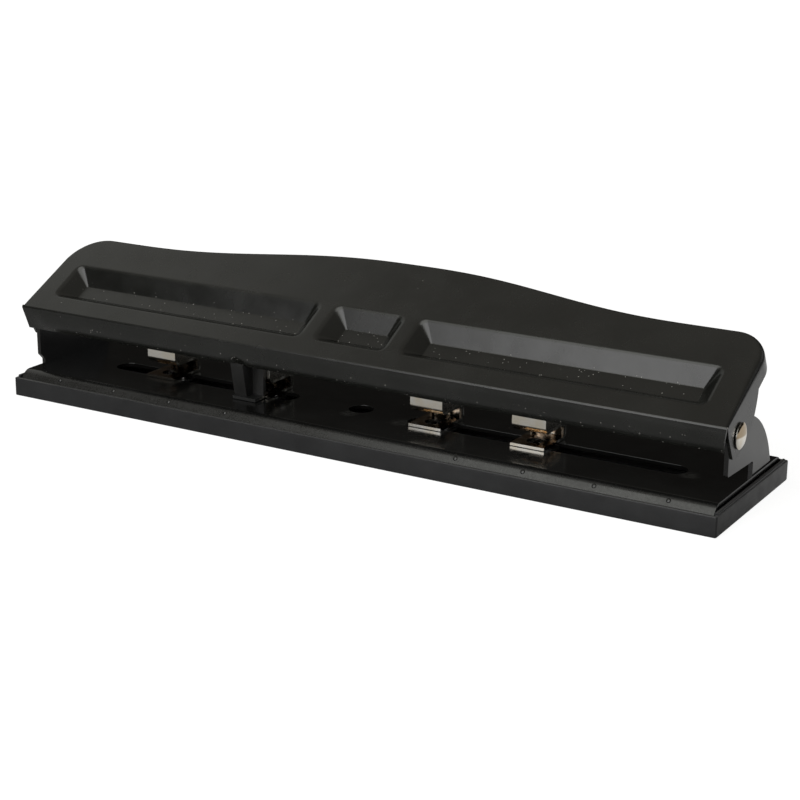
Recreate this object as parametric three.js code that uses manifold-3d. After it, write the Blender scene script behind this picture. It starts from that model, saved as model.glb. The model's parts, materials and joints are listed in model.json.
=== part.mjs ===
// Adjustable four-hole paper punch: a pressed-steel base in a plastic chip tray, a pressed-steel
// lever on two rivets, and four punch heads that slide along slots in the base.
// Millimetres, +X along the punch, +Y to the back (paper goes in from -Y), +Z up.
// The origin is the centre of the tray's underside.

import * as THREE from 'three';
import { mergeVertices, toCreasedNormals } from 'three/addons/utils/BufferGeometryUtils.js';
import Module from 'manifold-3d';

// Lever
const leverWidth = 298.5;
const leverGauge = 1.2;
const leverTilt = THREE.MathUtils.degToRad(28.9);
const ridgeY = -27.7;
const ridgeRise = 25.8;
const leverCrown = 54.8;
const crownX = 5;
const leftShoulder = 43.9;
const leftCrownRun = 128;
const leftCorner = 20;
const rightShoulder = 44.9;
const rightCrownRun = 117;
const rightCorner = 12;
const rimDepth = 8;
const ridgeBend = 1.8;
const flangeDepth = 9.7;
const flangeFlare = 2.3;
const flangeEndTaper = 1.3;
const cheekGap = 0.55;
const cheekFrontInset = 0.3;
const cheekFrontDepth = 12.1;
const cheekLobe = 6.5;
const cheekNotchRun = 13;
const cheekNotchDepth = 14.2;
const cheekRearRun = 19.4;
const cheekCurveShare = 2 / 3;

// Pockets pressed into the lever
const pocketDepth = 5.5;
const pocketWallRun = 5.8;
const pocketFrontV = 8.7;
const pocketWidth = 18.4;
const pocketEndInset = 10.55;
const pocketWeb = 6.4;
const centrePocketHalf = 15;
const pocketCorner = 2.4;
const pocketFloorCorner = 1.2;

// Chip tray
const trayDepth = 67;
const trayWallHeight = 7.4;
const trayWall = 1.6;
const trayFloor = 1.6;
const trayCorner = 2;
const trayFootChamfer = 0.5;
const trayLipHeight = 0.9;
const trayLipWidth = 0.8;
const trayLedgeReach = 2.4;
const trayLedgeLength = 14;
const trayLedgeShares = [-0.36, 0, 0.36];

// Base frame
const baseGauge = 1.5;
const plateRise = 2.6;
const plateEndLedge = 0.5;
const skirtGap = 0.4;
const skirtLength = 3;
const skirtEndInset = 2.5;
const bevelRun = 4;
const bevelDrop = 2.4;
const slotWidth = 9.4;
const slotY = -3.8;
const leftSlotX = [-120, -33];
const rightSlotX = [17, 127];
const centreHoleX = -5;
const centreHoleY = -2.5;
const centreHoleRadius = 4.7;

// Ears of the base frame
const earGauge = 1.6;
const earFrontY = -19.3;
const earRootY = 4;
const earFootGap = 5.2;
const earFootFlare = 1;
const leftEarLead = 2.3;
const leftEarChamfer = 2.4;
const leftEarHeel = 2.4;
const earArcRadius = 32.2;
const earArcY = -10;
const earArcSink = 8;
const earCornerRun = 4.4;
const reliefWidth = 2.4;

// Hinge of the lever
const pivotY = -15.3;
const pivotRise = 20;
const pivotRadius = 2;
const pivotClearance = 0.25;
const seatGap = 0.25;
const rivetHeadRadius = 4.6;
const rivetHeadHeight = 1.3;
const rivetEdgeShare = 1 / 3;
const rivetDomeShares = [0, 0.3, 0.6];
const rivetTailRadius = 3.3;
const rivetTailHeight = 0.9;
const rivetTailShare = 0.8;
const washerRadius = 4.2;
const washerThickness = 0.8;

// Punch heads
const headX = [-93.5, -48.4, 27.5, 69.4];
const pinY = -4.8;
const headWidth = 13.4;
const headGauge = 1;
const headLift = 0.2;
const headBend = 1.1;
const headShoulder = 2;
const headFront = 5.2;
const dieLead = 1.1;
const headRear = 11.3;
const headHeight = 14;
const headFrontWall = 6.5;
const lipDrop = 2.1;
const lipRun = 1.6;
const throatEndGap = 0.6;

// Punch pins and what is on them
const pinRadius = 2.75;
const pinClearance = 0.3;
const pinNotchRadius = 3.4;
const pinNotchDepth = 0.9;
const pressGap = 0.3;
const capOverhang = 0.1;
const capDomeRadius = 6;
const capSkirt = 1.7;
const capCover = 1.2;
const ringThickness = 0.6;
const ringReach = 0.65;
const grooveDepth = 0.55;
const springWire = 0.7;
const springTurns = 6;

// Keeper under the base plate
const keeperThickness = 1;
const keeperEndInset = 0.4;
const keeperLap = 2.3;
const keeperHoleGap = 0.75;
const keeperRivetRadius = 1;
const keeperRivetX = 3.4;
const keeperRivetY = 3.9;
const keeperRivetHead = 1.9;
const keeperRivetHeadHeight = 0.6;

// Paper guide on the second head
const guideHead = 1;
const guideWidth = 10.5;
const guideHeight = 14.3;
const guidePlate = 1.7;
const guideFootLength = 7.2;
const guideFootThickness = 1.2;
const guideRibWidth = 5.6;
const guideRibFoot = 4;
const guideRibHead = 6.6;
const guideTongue = 1.4;
const guideTongueThickness = 0.8;
const guideBumpRadius = 0.85;
const guideBumpShares = [-0.34, 0, 0.34];

// Cutting and facets
const overrun = 2;
const weldDistance = 1e-4;
const curveSegments = 4;
const cornerSteps = 8;
const roundSegments = 16;
const waveSteps = 24;
const creaseAngle = THREE.MathUtils.degToRad(32);
const springSteps = 8;
const springSides = 5;

// Worked out from the sizes above
const plateTop = trayWallHeight + plateRise;
const plateBottom = plateTop - baseGauge;
const skirtBottom = plateTop - bevelDrop - skirtLength;
const leverHalf = leverWidth / 2;
const earOuterX = leverHalf - leverGauge - cheekGap;
const earInnerX = earOuterX - earGauge;
const plateHalfLength = earOuterX + plateEndLedge;
const plateHalfDepth = trayDepth / 2 - trayWall - skirtGap;
const trayHalfLength = plateHalfLength + skirtGap + trayWall;
const pivotZ = plateTop + pivotRise;
const ridgeZ = plateTop + ridgeRise;
const throatTop = headLift + headHeight - headFrontWall - lipDrop;
const springRadius = pinRadius + pinClearance + springWire / 2 + pinClearance / 2;
const capRadius = springRadius + springWire / 2 + capOverhang;
const capDomeZ = ridgeZ + ((pinY - ridgeY) * Math.sin(leverTilt)
  - (pocketDepth + leverGauge + capDomeRadius + pressGap)) / Math.cos(leverTilt) - plateTop;
const capTop = capDomeZ + capDomeRadius;
const capEdge = capDomeZ + Math.sqrt(capDomeRadius ** 2 - capRadius ** 2);
const capUnder = capEdge - capSkirt;
const pinTop = capTop - capCover - pressGap;
const headTop = headLift + headHeight;
const ringTop = headTop - headGauge - pressGap;

const wasm = await Module();
wasm.setup();

// Closed mesh to solid, and back
function solidOf(geometry) {
  const bare = geometry.clone();
  bare.deleteAttribute('normal');
  bare.deleteAttribute('uv');
  const merged = mergeVertices(bare, weldDistance);
  const vertProperties = new Float32Array(merged.attributes.position.array);
  const triVerts = new Uint32Array(merged.index.array);
  return new wasm.Manifold(new wasm.Mesh({ numProp: 3, vertProperties, triVerts }));
}

function geometryOf(solid) {
  const mesh = solid.getMesh();
  const geometry = new THREE.BufferGeometry();
  geometry.setAttribute('position', new THREE.BufferAttribute(mesh.vertProperties, 3));
  geometry.setIndex(new THREE.BufferAttribute(mesh.triVerts, 1));
  return geometry;
}

// Prisms: an outline in X and Y raised along Z, in Y and Z drawn along X, or in X and Z along Y
function prismZ(shape, low, high) {
  const options = { depth: high - low, bevelEnabled: false, curveSegments };
  const geometry = new THREE.ExtrudeGeometry(shape, options);
  geometry.translate(0, 0, low);
  return solidOf(geometry);
}

function prismX(shape, low, high) {
  const options = { depth: high - low, bevelEnabled: false, curveSegments };
  const geometry = new THREE.ExtrudeGeometry(shape, options);
  geometry.translate(0, 0, low);
  const turn = new THREE.Matrix4();
  turn.makeBasis(new THREE.Vector3(0, 1, 0), new THREE.Vector3(0, 0, 1), new THREE.Vector3(1, 0, 0));
  geometry.applyMatrix4(turn);
  return solidOf(geometry);
}

function prismY(shape, low, high) {
  const options = { depth: high - low, bevelEnabled: false, curveSegments };
  const geometry = new THREE.ExtrudeGeometry(shape, options);
  geometry.translate(0, 0, -high);
  geometry.rotateX(Math.PI / 2);
  return solidOf(geometry);
}

function block(x, y, z) {
  const geometry = new THREE.BoxGeometry(x[1] - x[0], y[1] - y[0], z[1] - z[0]);
  geometry.translate((x[0] + x[1]) / 2, (y[0] + y[1]) / 2, (z[0] + z[1]) / 2);
  return solidOf(geometry);
}

function rodZ(radius, low, high, x, y) {
  const geometry = new THREE.CylinderGeometry(radius, radius, high - low, roundSegments);
  geometry.rotateX(Math.PI / 2);
  geometry.translate(x, y, (low + high) / 2);
  return solidOf(geometry);
}

function rodX(radius, low, high, y, z) {
  const geometry = new THREE.CylinderGeometry(radius, radius, high - low, roundSegments);
  geometry.rotateZ(Math.PI / 2);
  geometry.translate((low + high) / 2, y, z);
  return solidOf(geometry);
}

// A turned piece on the Z axis from its profile of radius and height
function turned(profile) {
  const points = profile.map((point) => new THREE.Vector2(point[0], point[1]));
  const geometry = new THREE.LatheGeometry(points, roundSegments);
  geometry.rotateX(Math.PI / 2);
  return geometry;
}

function polygon(points) {
  return new THREE.Shape(points.map((point) => new THREE.Vector2(point[0], point[1])));
}

function stadium(x, y, width) {
  const radius = width / 2;
  const shape = new THREE.Shape();
  shape.moveTo(x[0] + radius, y - radius);
  shape.absarc(x[1] - radius, y, radius, -Math.PI / 2, Math.PI / 2, false);
  shape.absarc(x[0] + radius, y, radius, Math.PI / 2, Math.PI * 1.5, false);
  return shape;
}

function arcPoints(x, y, radius, from, to) {
  const points = [];
  for (let i = 0; i <= curveSegments; i += 1) {
    const angle = from + ((to - from) * i) / curveSegments;
    points.push([x + radius * Math.cos(angle), y + radius * Math.sin(angle)]);
  }
  return points;
}

// The points of a rounded rectangle: as many, and in the same order, at every size
function roundedPoints(x, y, radius) {
  const quarter = Math.PI / 2;
  return [
    ...arcPoints(x[1] - radius, y[0] + radius, radius, -quarter, 0),
    ...arcPoints(x[1] - radius, y[1] - radius, radius, 0, quarter),
    ...arcPoints(x[0] + radius, y[1] - radius, radius, quarter, 2 * quarter),
    ...arcPoints(x[0] + radius, y[0] + radius, radius, 2 * quarter, 3 * quarter),
  ];
}

// A body through stacked convex outlines of equal point count, lowest first
function loft(sections) {
  const count = sections[0].points.length;
  const positions = [];
  for (const section of sections) {
    for (const point of section.points) positions.push(point[0], point[1], section.z);
  }
  const index = [];
  for (let level = 0; level < sections.length - 1; level += 1) {
    for (let i = 0; i < count; i += 1) {
      const a = level * count + i;
      const b = level * count + ((i + 1) % count);
      index.push(a, b, b + count, a, b + count, a + count);
    }
  }
  const last = (sections.length - 1) * count;
  for (let i = 1; i < count - 1; i += 1) {
    index.push(0, i + 1, i);
    index.push(last, last + i, last + i + 1);
  }
  const geometry = new THREE.BufferGeometry();
  geometry.setAttribute('position', new THREE.Float32BufferAttribute(positions, 3));
  geometry.setIndex(index);
  return solidOf(geometry);
}

// The outline of a folded sheet: a line of points and the same line set off to its left
function foldedSheet(line, gauge) {
  const vectors = line.map((point) => new THREE.Vector2(point[0], point[1]));
  const offset = vectors.map((point, i) => {
    const before = vectors[Math.max(i - 1, 0)];
    const after = vectors[Math.min(i + 1, vectors.length - 1)];
    const from = i === 0 ? null : point.clone().sub(before).normalize();
    const to = i === vectors.length - 1 ? null : after.clone().sub(point).normalize();
    const first = from ?? to;
    const second = to ?? from;
    const normalA = new THREE.Vector2(-first.y, first.x);
    const normalB = new THREE.Vector2(-second.y, second.x);
    const mitre = normalA.clone().add(normalB).normalize();
    return point.clone().addScaledVector(mitre, gauge / mitre.dot(normalA));
  });
  return new THREE.Shape(vectors.concat(offset.reverse()));
}

function union(solids) {
  return solids.reduce((sum, solid) => sum.add(solid));
}

// Materials
const blackPlastic = { color: 0x17181a, roughness: 0.5, metalness: 0 };
const glossBlack = { color: 0x0b0b0c, roughness: 0.22, metalness: 0.2 };
const satinBlack = { color: 0x1d1d1c, roughness: 0.42, metalness: 0.2 };
const nickel = { color: 0xc9c5bc, roughness: 0.2, metalness: 1 };
const steel = { color: 0x9a9a98, roughness: 0.35, metalness: 1 };
const whiteNylon = { color: 0xd8d6cf, roughness: 0.6, metalness: 0 };

const punch = new THREE.Group();
punch.name = 'four_hole_punch';

function addPiece(group, name, geometry, finish) {
  const creased = toCreasedNormals(geometry, creaseAngle);
  const mesh = new THREE.Mesh(creased, new THREE.MeshStandardMaterial(finish));
  mesh.name = name;
  group.add(mesh);
}

// Chip tray: a shallow tub with ledges that the base frame's skirt stands on
function chipTray() {
  const halfX = trayHalfLength;
  const halfY = trayDepth / 2;
  const inset = (amount, radius, z) => {
    const x = [-halfX + amount, halfX - amount];
    const y = [-halfY + amount, halfY - amount];
    return { points: roundedPoints(x, y, radius), z };
  };
  let tray = loft([
    inset(trayFootChamfer, trayCorner, 0),
    inset(0, trayCorner, trayFootChamfer),
    inset(0, trayCorner, trayWallHeight),
  ]);
  const innerCorner = trayCorner - trayWall;
  tray = tray.subtract(loft([
    inset(trayWall, innerCorner, trayFloor),
    inset(trayWall, innerCorner, trayWallHeight + overrun),
  ]));
  for (const side of [-1, 1]) {
    const lipX = [side * (halfX - trayWall), side * (halfX - trayWall + trayLipWidth)];
    lipX.sort((a, b) => a - b);
    const lipY = [-halfY + trayCorner, halfY - trayCorner];
    const lipZ = [trayWallHeight - trayLipHeight, trayWallHeight + trayLipHeight];
    tray = tray.add(block(lipX, lipY, lipZ));
    for (const share of trayLedgeShares) {
      const x = share * 2 * trayHalfLength;
      const ledgeX = [x - trayLedgeLength / 2, x + trayLedgeLength / 2];
      const ledgeY = [side * (halfY - trayWall / 2), side * (halfY - trayWall - trayLedgeReach)];
      ledgeY.sort((a, b) => a - b);
      tray = tray.add(block(ledgeX, ledgeY, [trayFloor / 2, skirtBottom - seatGap]));
    }
  }
  return geometryOf(tray);
}

// Base frame: plate with rounded edges and skirts, slots, and an ear at each end
function plateSection(inset) {
  const half = plateHalfDepth - inset;
  const top = plateTop - inset;
  const points = [];
  for (let i = 0; i <= curveSegments; i += 1) {
    const angle = (Math.PI / 2) * (i / curveSegments);
    points.push([half - bevelRun * (1 - Math.sin(angle)), top - bevelDrop * (1 - Math.cos(angle))]);
  }
  const right = points.concat([[half, skirtBottom]]);
  const left = right.map((point) => [-point[0], point[1]]).reverse();
  return left.concat(right);
}

// The right ear stands clear of the plate in front of its root, and the left one stands on it
function earFoot(side, frontY) {
  if (side > 0) {
    return [
      [earRootY, plateBottom],
      [earRootY, plateTop + earFootGap],
      [frontY, plateTop + earFootGap + earFootFlare],
    ];
  }
  const heelY = frontY + leftEarChamfer;
  return [
    [heelY, plateBottom],
    [heelY, plateTop + leftEarHeel],
    [frontY, plateTop + leftEarHeel + leftEarChamfer],
  ];
}

function earOutline(side) {
  const frontY = side > 0 ? earFrontY : earFrontY - leftEarLead;
  const arcZ = plateTop - earArcSink;
  const cornerEndY = frontY + earCornerRun;
  const rise = (y) => arcZ + Math.sqrt(earArcRadius ** 2 - (y - earArcY) ** 2);
  const startAngle = Math.acos((cornerEndY - earArcY) / earArcRadius);
  const endAngle = Math.asin((plateBottom - arcZ) / earArcRadius);
  const shape = polygon(earFoot(side, frontY));
  shape.lineTo(frontY, rise(cornerEndY) - earCornerRun);
  shape.quadraticCurveTo(frontY, rise(cornerEndY), cornerEndY, rise(cornerEndY));
  shape.absarc(earArcY, arcZ, earArcRadius, startAngle, endAngle, true);
  return shape;
}

function baseFrame() {
  let frame = prismX(polygon(plateSection(0).reverse()), -plateHalfLength, plateHalfLength);
  const hollow = plateSection(baseGauge).reverse();
  hollow.push([-(plateHalfDepth - baseGauge), skirtBottom - overrun]);
  hollow.unshift([plateHalfDepth - baseGauge, skirtBottom - overrun]);
  frame = frame.subtract(prismX(polygon(hollow), -trayHalfLength, trayHalfLength));
  const cutZ = [plateBottom - overrun, plateTop + overrun];
  for (const slotX of [leftSlotX, rightSlotX]) {
    frame = frame.subtract(prismZ(stadium(slotX, slotY, slotWidth), cutZ[0], cutZ[1]));
  }
  frame = frame.subtract(rodZ(centreHoleRadius, cutZ[0], cutZ[1], centreHoleX, centreHoleY));
  for (const side of [-1, 1]) {
    const reliefX = [side * (earInnerX - seatGap), side * (plateHalfLength + overrun)];
    reliefX.sort((a, b) => a - b);
    if (side > 0) frame = frame.subtract(block(reliefX, [earRootY - reliefWidth, earRootY], cutZ));
    const skirtX = [side * (plateHalfLength - skirtEndInset), side * (plateHalfLength + overrun)];
    skirtX.sort((a, b) => a - b);
    const skirtZ = [skirtBottom - overrun, plateTop - bevelDrop];
    frame = frame.subtract(block(skirtX, [-trayDepth / 2, trayDepth / 2], skirtZ));
    const earX = [side * earInnerX, side * earOuterX];
    earX.sort((a, b) => a - b);
    const bore = rodX(pivotRadius + pivotClearance, earX[0] - overrun, earX[1] + overrun, pivotY, pivotZ);
    frame = frame.add(prismX(earOutline(side), earX[0], earX[1]).subtract(bore));
  }
  return geometryOf(frame);
}

// Lever, in its own frame: X along the ridge, Y up the slope of the plate, Z out of the plate
const pivotV = (pivotY - ridgeY) * Math.cos(leverTilt) + (pivotZ - ridgeZ) * Math.sin(leverTilt);
const pivotDepth = (pivotY - ridgeY) * Math.sin(leverTilt) - (pivotZ - ridgeZ) * Math.cos(leverTilt);

function rearEdge(u) {
  const run = u > crownX ? rightCrownRun : leftCrownRun;
  const shoulder = u > crownX ? rightShoulder : leftShoulder;
  const rise = THREE.MathUtils.smootherstep(1 - Math.abs(u - crownX) / run, 0, 1);
  return shoulder + (leverCrown - shoulder) * rise;
}

function leverPlan(inset, frontV) {
  const half = leverHalf - inset;
  const corner = (side, turn) => {
    const full = side > 0 ? rightCorner : leftCorner;
    const shoulder = side > 0 ? rightShoulder : leftShoulder;
    const x = side * (leverHalf - full);
    const radius = full - inset;
    return [x + side * radius * Math.cos(turn), shoulder - full + radius * Math.sin(turn)];
  };
  const points = [[half, frontV]];
  for (let i = 0; i <= cornerSteps; i += 1) points.push(corner(1, (Math.PI / 2) * (i / cornerSteps)));
  for (let i = 1; i < waveSteps; i += 1) {
    const u = crownX + rightCrownRun - ((leftCrownRun + rightCrownRun) * i) / waveSteps;
    points.push([u, rearEdge(u) - inset]);
  }
  for (let i = cornerSteps; i >= 0; i -= 1) points.push(corner(-1, (Math.PI / 2) * (i / cornerSteps)));
  points.push([-half, frontV]);
  return polygon(points);
}

function flangeSection() {
  const line = [[ridgeBend + leverGauge, 0]];
  const slope = flangeFlare / flangeDepth;
  for (let i = 0; i <= curveSegments; i += 1) {
    const t = i / curveSegments;
    const near = (1 - t) ** 2;
    const far = t ** 2;
    line.push([ridgeBend * near - ridgeBend * slope * far, -ridgeBend * far]);
  }
  line.push([-flangeFlare, -flangeDepth]);
  return foldedSheet(line, leverGauge);
}

function cheekOutline() {
  const lobeDepth = pivotDepth + cheekLobe;
  const notchV = pivotV + cheekNotchRun;
  const rearV = pivotV + cheekRearRun;
  const shape = new THREE.Shape();
  shape.moveTo(cheekFrontInset, -leverGauge / 2);
  shape.lineTo(cheekFrontInset, -cheekFrontDepth);
  shape.quadraticCurveTo(cheekFrontInset, -lobeDepth, pivotV, -lobeDepth);
  shape.quadraticCurveTo((pivotV + notchV) / 2, -lobeDepth, notchV, -cheekNotchDepth);
  const bendV = notchV + (rearV - notchV) * cheekCurveShare;
  shape.quadraticCurveTo(bendV, -(rimDepth + cheekNotchDepth) / 2, rearV, -rimDepth);
  shape.lineTo(rearV, -leverGauge / 2);
  return shape;
}

function pocket(u, inset, low, high) {
  const grow = (depth) => (pocketWallRun * depth) / pocketDepth;
  const level = (z, radius) => {
    const x = [u[0] + grow(-z) - inset, u[1] - grow(-z) + inset];
    const y = [pocketFrontV + grow(-z) - inset, pocketFrontV + pocketWidth - grow(-z) + inset];
    return { points: roundedPoints(x, y, radius), z };
  };
  return loft([level(low, pocketFloorCorner), level(high, pocketCorner)]);
}

function lever() {
  let body = prismZ(leverPlan(0, ridgeBend), -rimDepth, 0);
  body = body.subtract(prismZ(leverPlan(leverGauge, -overrun), -rimDepth - overrun, -leverGauge));
  let flange = prismX(flangeSection(), -leverHalf, leverHalf);
  const low = leverHalf - flangeEndTaper;
  const trim = polygon([
    [-low, -flangeDepth - overrun],
    [low, -flangeDepth - overrun],
    [leverHalf + overrun, -ridgeBend],
    [leverHalf + overrun, overrun],
    [-leverHalf - overrun, overrun],
    [-leverHalf - overrun, -ridgeBend],
  ]);
  flange = flange.intersect(prismY(trim, -flangeFlare - overrun, ridgeBend + leverGauge));
  body = body.add(flange);
  const plan = prismZ(leverPlan(0, 0), -pivotDepth - cheekLobe - overrun, 0);
  for (const side of [-1, 1]) {
    const cheekX = [side * (leverHalf - leverGauge), side * leverHalf];
    cheekX.sort((a, b) => a - b);
    const bore = rodX(
      pivotRadius + pivotClearance,
      cheekX[0] - overrun,
      cheekX[1] + overrun,
      pivotV,
      -pivotDepth,
    );
    const cheek = prismX(cheekOutline(), cheekX[0], cheekX[1]).intersect(plan);
    body = body.add(cheek).subtract(bore);
  }
  const innerU = centrePocketHalf + pocketWeb;
  const outerU = leverHalf - pocketEndInset;
  const pockets = [[-outerU, -innerU], [-centrePocketHalf, centrePocketHalf], [innerU, outerU]];
  const wallShare = Math.hypot(pocketWallRun, pocketDepth) / pocketDepth;
  for (const u of pockets) {
    body = body.add(pocket(u, leverGauge * wallShare, -pocketDepth - leverGauge, -leverGauge / 2));
    body = body.subtract(pocket(u, 0, -pocketDepth, overrun));
  }
  return geometryOf(body);
}

// Hinge rivet with its washer, on the Z axis with the domed head up
const rivetShank = leverGauge + cheekGap + earGauge + washerThickness + 3 * seatGap;

function hingeRivet() {
  const dome = (share) => [
    rivetHeadRadius * Math.cos(share * Math.PI / 2),
    rivetHeadHeight * (rivetEdgeShare + (1 - rivetEdgeShare) * Math.sin(share * Math.PI / 2)),
  ];
  return turned([
    [0, -rivetShank - rivetTailHeight],
    [rivetTailRadius * rivetTailShare, -rivetShank - rivetTailHeight],
    [rivetTailRadius, -rivetShank - rivetTailHeight / 2],
    [rivetTailRadius, -rivetShank],
    [pivotRadius, -rivetShank],
    [pivotRadius, 0],
    [rivetHeadRadius, 0],
    ...rivetDomeShares.map(dome),
    [0, rivetHeadHeight],
  ]);
}

function ringOf(outer, inner, low, high) {
  return turned([[inner, low], [outer, low], [outer, high], [inner, high], [inner, low]]);
}

// Punch head, about its pin's axis and above the base plate's top
function headBracket() {
  const line = [[-headFront - dieLead, headLift]];
  line.push(...arcPoints(headRear - headBend, headLift + headBend, headBend, -Math.PI / 2, 0));
  line.push(...arcPoints(headRear - headBend, headTop - headBend, headBend, 0, Math.PI / 2));
  const shoulderY = headShoulder - headFront;
  line.push(...arcPoints(shoulderY, headTop - headShoulder, headShoulder, Math.PI / 2, Math.PI));
  line.push([-headFront, headTop - headFrontWall]);
  line.push([-headFront + lipRun, throatTop]);
  line.push([headRear - headGauge - throatEndGap, throatTop]);
  let bracket = prismX(foldedSheet(line, headGauge), -headWidth / 2, headWidth / 2);
  bracket = bracket.subtract(rodZ(pinRadius + pinClearance, -overrun, headTop + overrun, 0, 0));
  for (const side of [-1, 1]) {
    const hole = keeperRivetRadius + pivotClearance;
    bracket = bracket.subtract(
      rodZ(hole, -overrun, headLift + overrun, side * keeperRivetX, keeperRivetY),
    );
  }
  return geometryOf(bracket);
}

function punchPin() {
  const groove = pinRadius - grooveDepth;
  const ringBottom = ringTop - ringThickness;
  const rod = turned([
    [0, throatTop],
    [pinRadius, throatTop],
    [pinRadius, ringBottom - pinClearance / 2],
    [groove, ringBottom - pinClearance / 2],
    [groove, ringTop + pinClearance / 2],
    [pinRadius, ringTop + pinClearance / 2],
    [pinRadius, pinTop],
    [0, pinTop],
  ]);
  const notch = rodX(
    pinNotchRadius,
    -pinRadius - overrun,
    pinRadius + overrun,
    0,
    throatTop + pinNotchDepth - pinNotchRadius,
  );
  return geometryOf(solidOf(rod).subtract(notch));
}

function pinCap() {
  const bore = pinRadius + pinClearance;
  const dome = [];
  const edge = Math.asin(capRadius / capDomeRadius);
  for (let i = 0; i <= curveSegments; i += 1) {
    const angle = edge * (1 - i / curveSegments);
    dome.push([capDomeRadius * Math.sin(angle), capDomeZ + capDomeRadius * Math.cos(angle)]);
  }
  dome[curveSegments][0] = 0;
  return turned([
    [0, pinTop + pressGap],
    [bore, pinTop + pressGap],
    [bore, capUnder],
    [capRadius, capUnder],
    ...dome,
  ]);
}

function pinRing() {
  const inner = pinRadius - grooveDepth + pinClearance;
  const ring = solidOf(ringOf(pinRadius + ringReach, inner, ringTop - ringThickness, ringTop));
  const opening = block(
    [-inner, inner],
    [-pinRadius - overrun, 0],
    [ringTop - ringThickness - overrun, ringTop + overrun],
  );
  return geometryOf(ring.subtract(opening));
}

// Return spring: one tube wound round the pin, each end running straight on for one wire
const springLow = headTop + pinClearance + springWire / 2;
const springHigh = capUnder - pinClearance - springWire / 2;

function springPoint(step) {
  const angle = (step / springSteps) * 2 * Math.PI;
  const share = step / (springTurns * springSteps);
  return new THREE.Vector3(
    springRadius * Math.cos(angle),
    springRadius * Math.sin(angle),
    springLow + (springHigh - springLow) * share,
  );
}

function springPath() {
  const path = [];
  for (let step = 0; step <= springTurns * springSteps; step += 1) path.push(springPoint(step));
  const last = path.length - 1;
  const start = path[0].clone().sub(path[1]).normalize().multiplyScalar(springWire);
  const end = path[last].clone().sub(path[last - 1]).normalize().multiplyScalar(springWire);
  path.unshift(path[0].clone().add(start));
  path.push(path[last + 1].clone().add(end));
  return path;
}

function leastSelfGap(path) {
  let least = Infinity;
  for (let i = 0; i < path.length; i += 1) {
    for (let j = i + springSteps / 2; j < path.length; j += 1) {
      least = Math.min(least, path[i].distanceTo(path[j]) - springWire);
    }
  }
  return least;
}

function returnSpring(path) {
  const up = new THREE.Vector3(0, 0, 1);
  const positions = [];
  path.forEach((point, i) => {
    const before = path[Math.max(i - 1, 0)];
    const after = path[Math.min(i + 1, path.length - 1)];
    const along = after.clone().sub(before).normalize();
    const side = along.clone().cross(up).normalize();
    const over = along.clone().cross(side);
    for (let k = 0; k < springSides; k += 1) {
      const angle = (k / springSides) * 2 * Math.PI;
      const corner = point.clone()
        .addScaledVector(side, (springWire / 2) * Math.cos(angle))
        .addScaledVector(over, (springWire / 2) * Math.sin(angle));
      positions.push(corner.x, corner.y, corner.z);
    }
  });
  const index = [];
  for (let i = 0; i < path.length - 1; i += 1) {
    for (let k = 0; k < springSides; k += 1) {
      const a = i * springSides + k;
      const b = i * springSides + ((k + 1) % springSides);
      index.push(a, b, b + springSides, a, b + springSides, a + springSides);
    }
  }
  const last = (path.length - 1) * springSides;
  for (let k = 1; k < springSides - 1; k += 1) {
    index.push(0, k + 1, k);
    index.push(last, last + k, last + k + 1);
  }
  const geometry = new THREE.BufferGeometry();
  geometry.setAttribute('position', new THREE.Float32BufferAttribute(positions, 3));
  geometry.setIndex(index);
  return geometry;
}

const springLine = springPath();
console.log('least gap of the return spring to itself:', leastSelfGap(springLine).toFixed(2), 'mm');

// Keeper plate under the base plate, and the rivets that hold it to the head
const keeperTop = -baseGauge - pinClearance;
const keeperBottom = keeperTop - keeperThickness;

function keeperPlate() {
  const halfX = headWidth / 2 - keeperEndInset;
  const halfY = slotWidth / 2 + keeperLap;
  const centreY = slotY - pinY;
  const outline = roundedPoints([-halfX, halfX], [centreY - halfY, centreY + halfY], keeperRivetRadius);
  let plate = prismZ(polygon(outline), keeperBottom, keeperTop);
  const keeperHole = pinRadius + keeperHoleGap;
  plate = plate.subtract(rodZ(keeperHole, keeperBottom - overrun, keeperTop + overrun, 0, 0));
  const hole = keeperRivetRadius + pivotClearance;
  for (const side of [-1, 1]) {
    const x = side * keeperRivetX;
    plate = plate.subtract(rodZ(hole, keeperBottom - overrun, keeperTop + overrun, x, keeperRivetY));
  }
  return geometryOf(plate);
}

function keeperRivet(side) {
  const headHigh = keeperBottom - seatGap;
  const rivet = turned([
    [0, headHigh - keeperRivetHeadHeight],
    [keeperRivetHead, headHigh - keeperRivetHeadHeight],
    [keeperRivetHead, headHigh],
    [keeperRivetRadius, headHigh],
    [keeperRivetRadius, headLift + headGauge],
    [0, headLift + headGauge],
  ]);
  rivet.translate(side * keeperRivetX, keeperRivetY, 0);
  return rivet;
}

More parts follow.
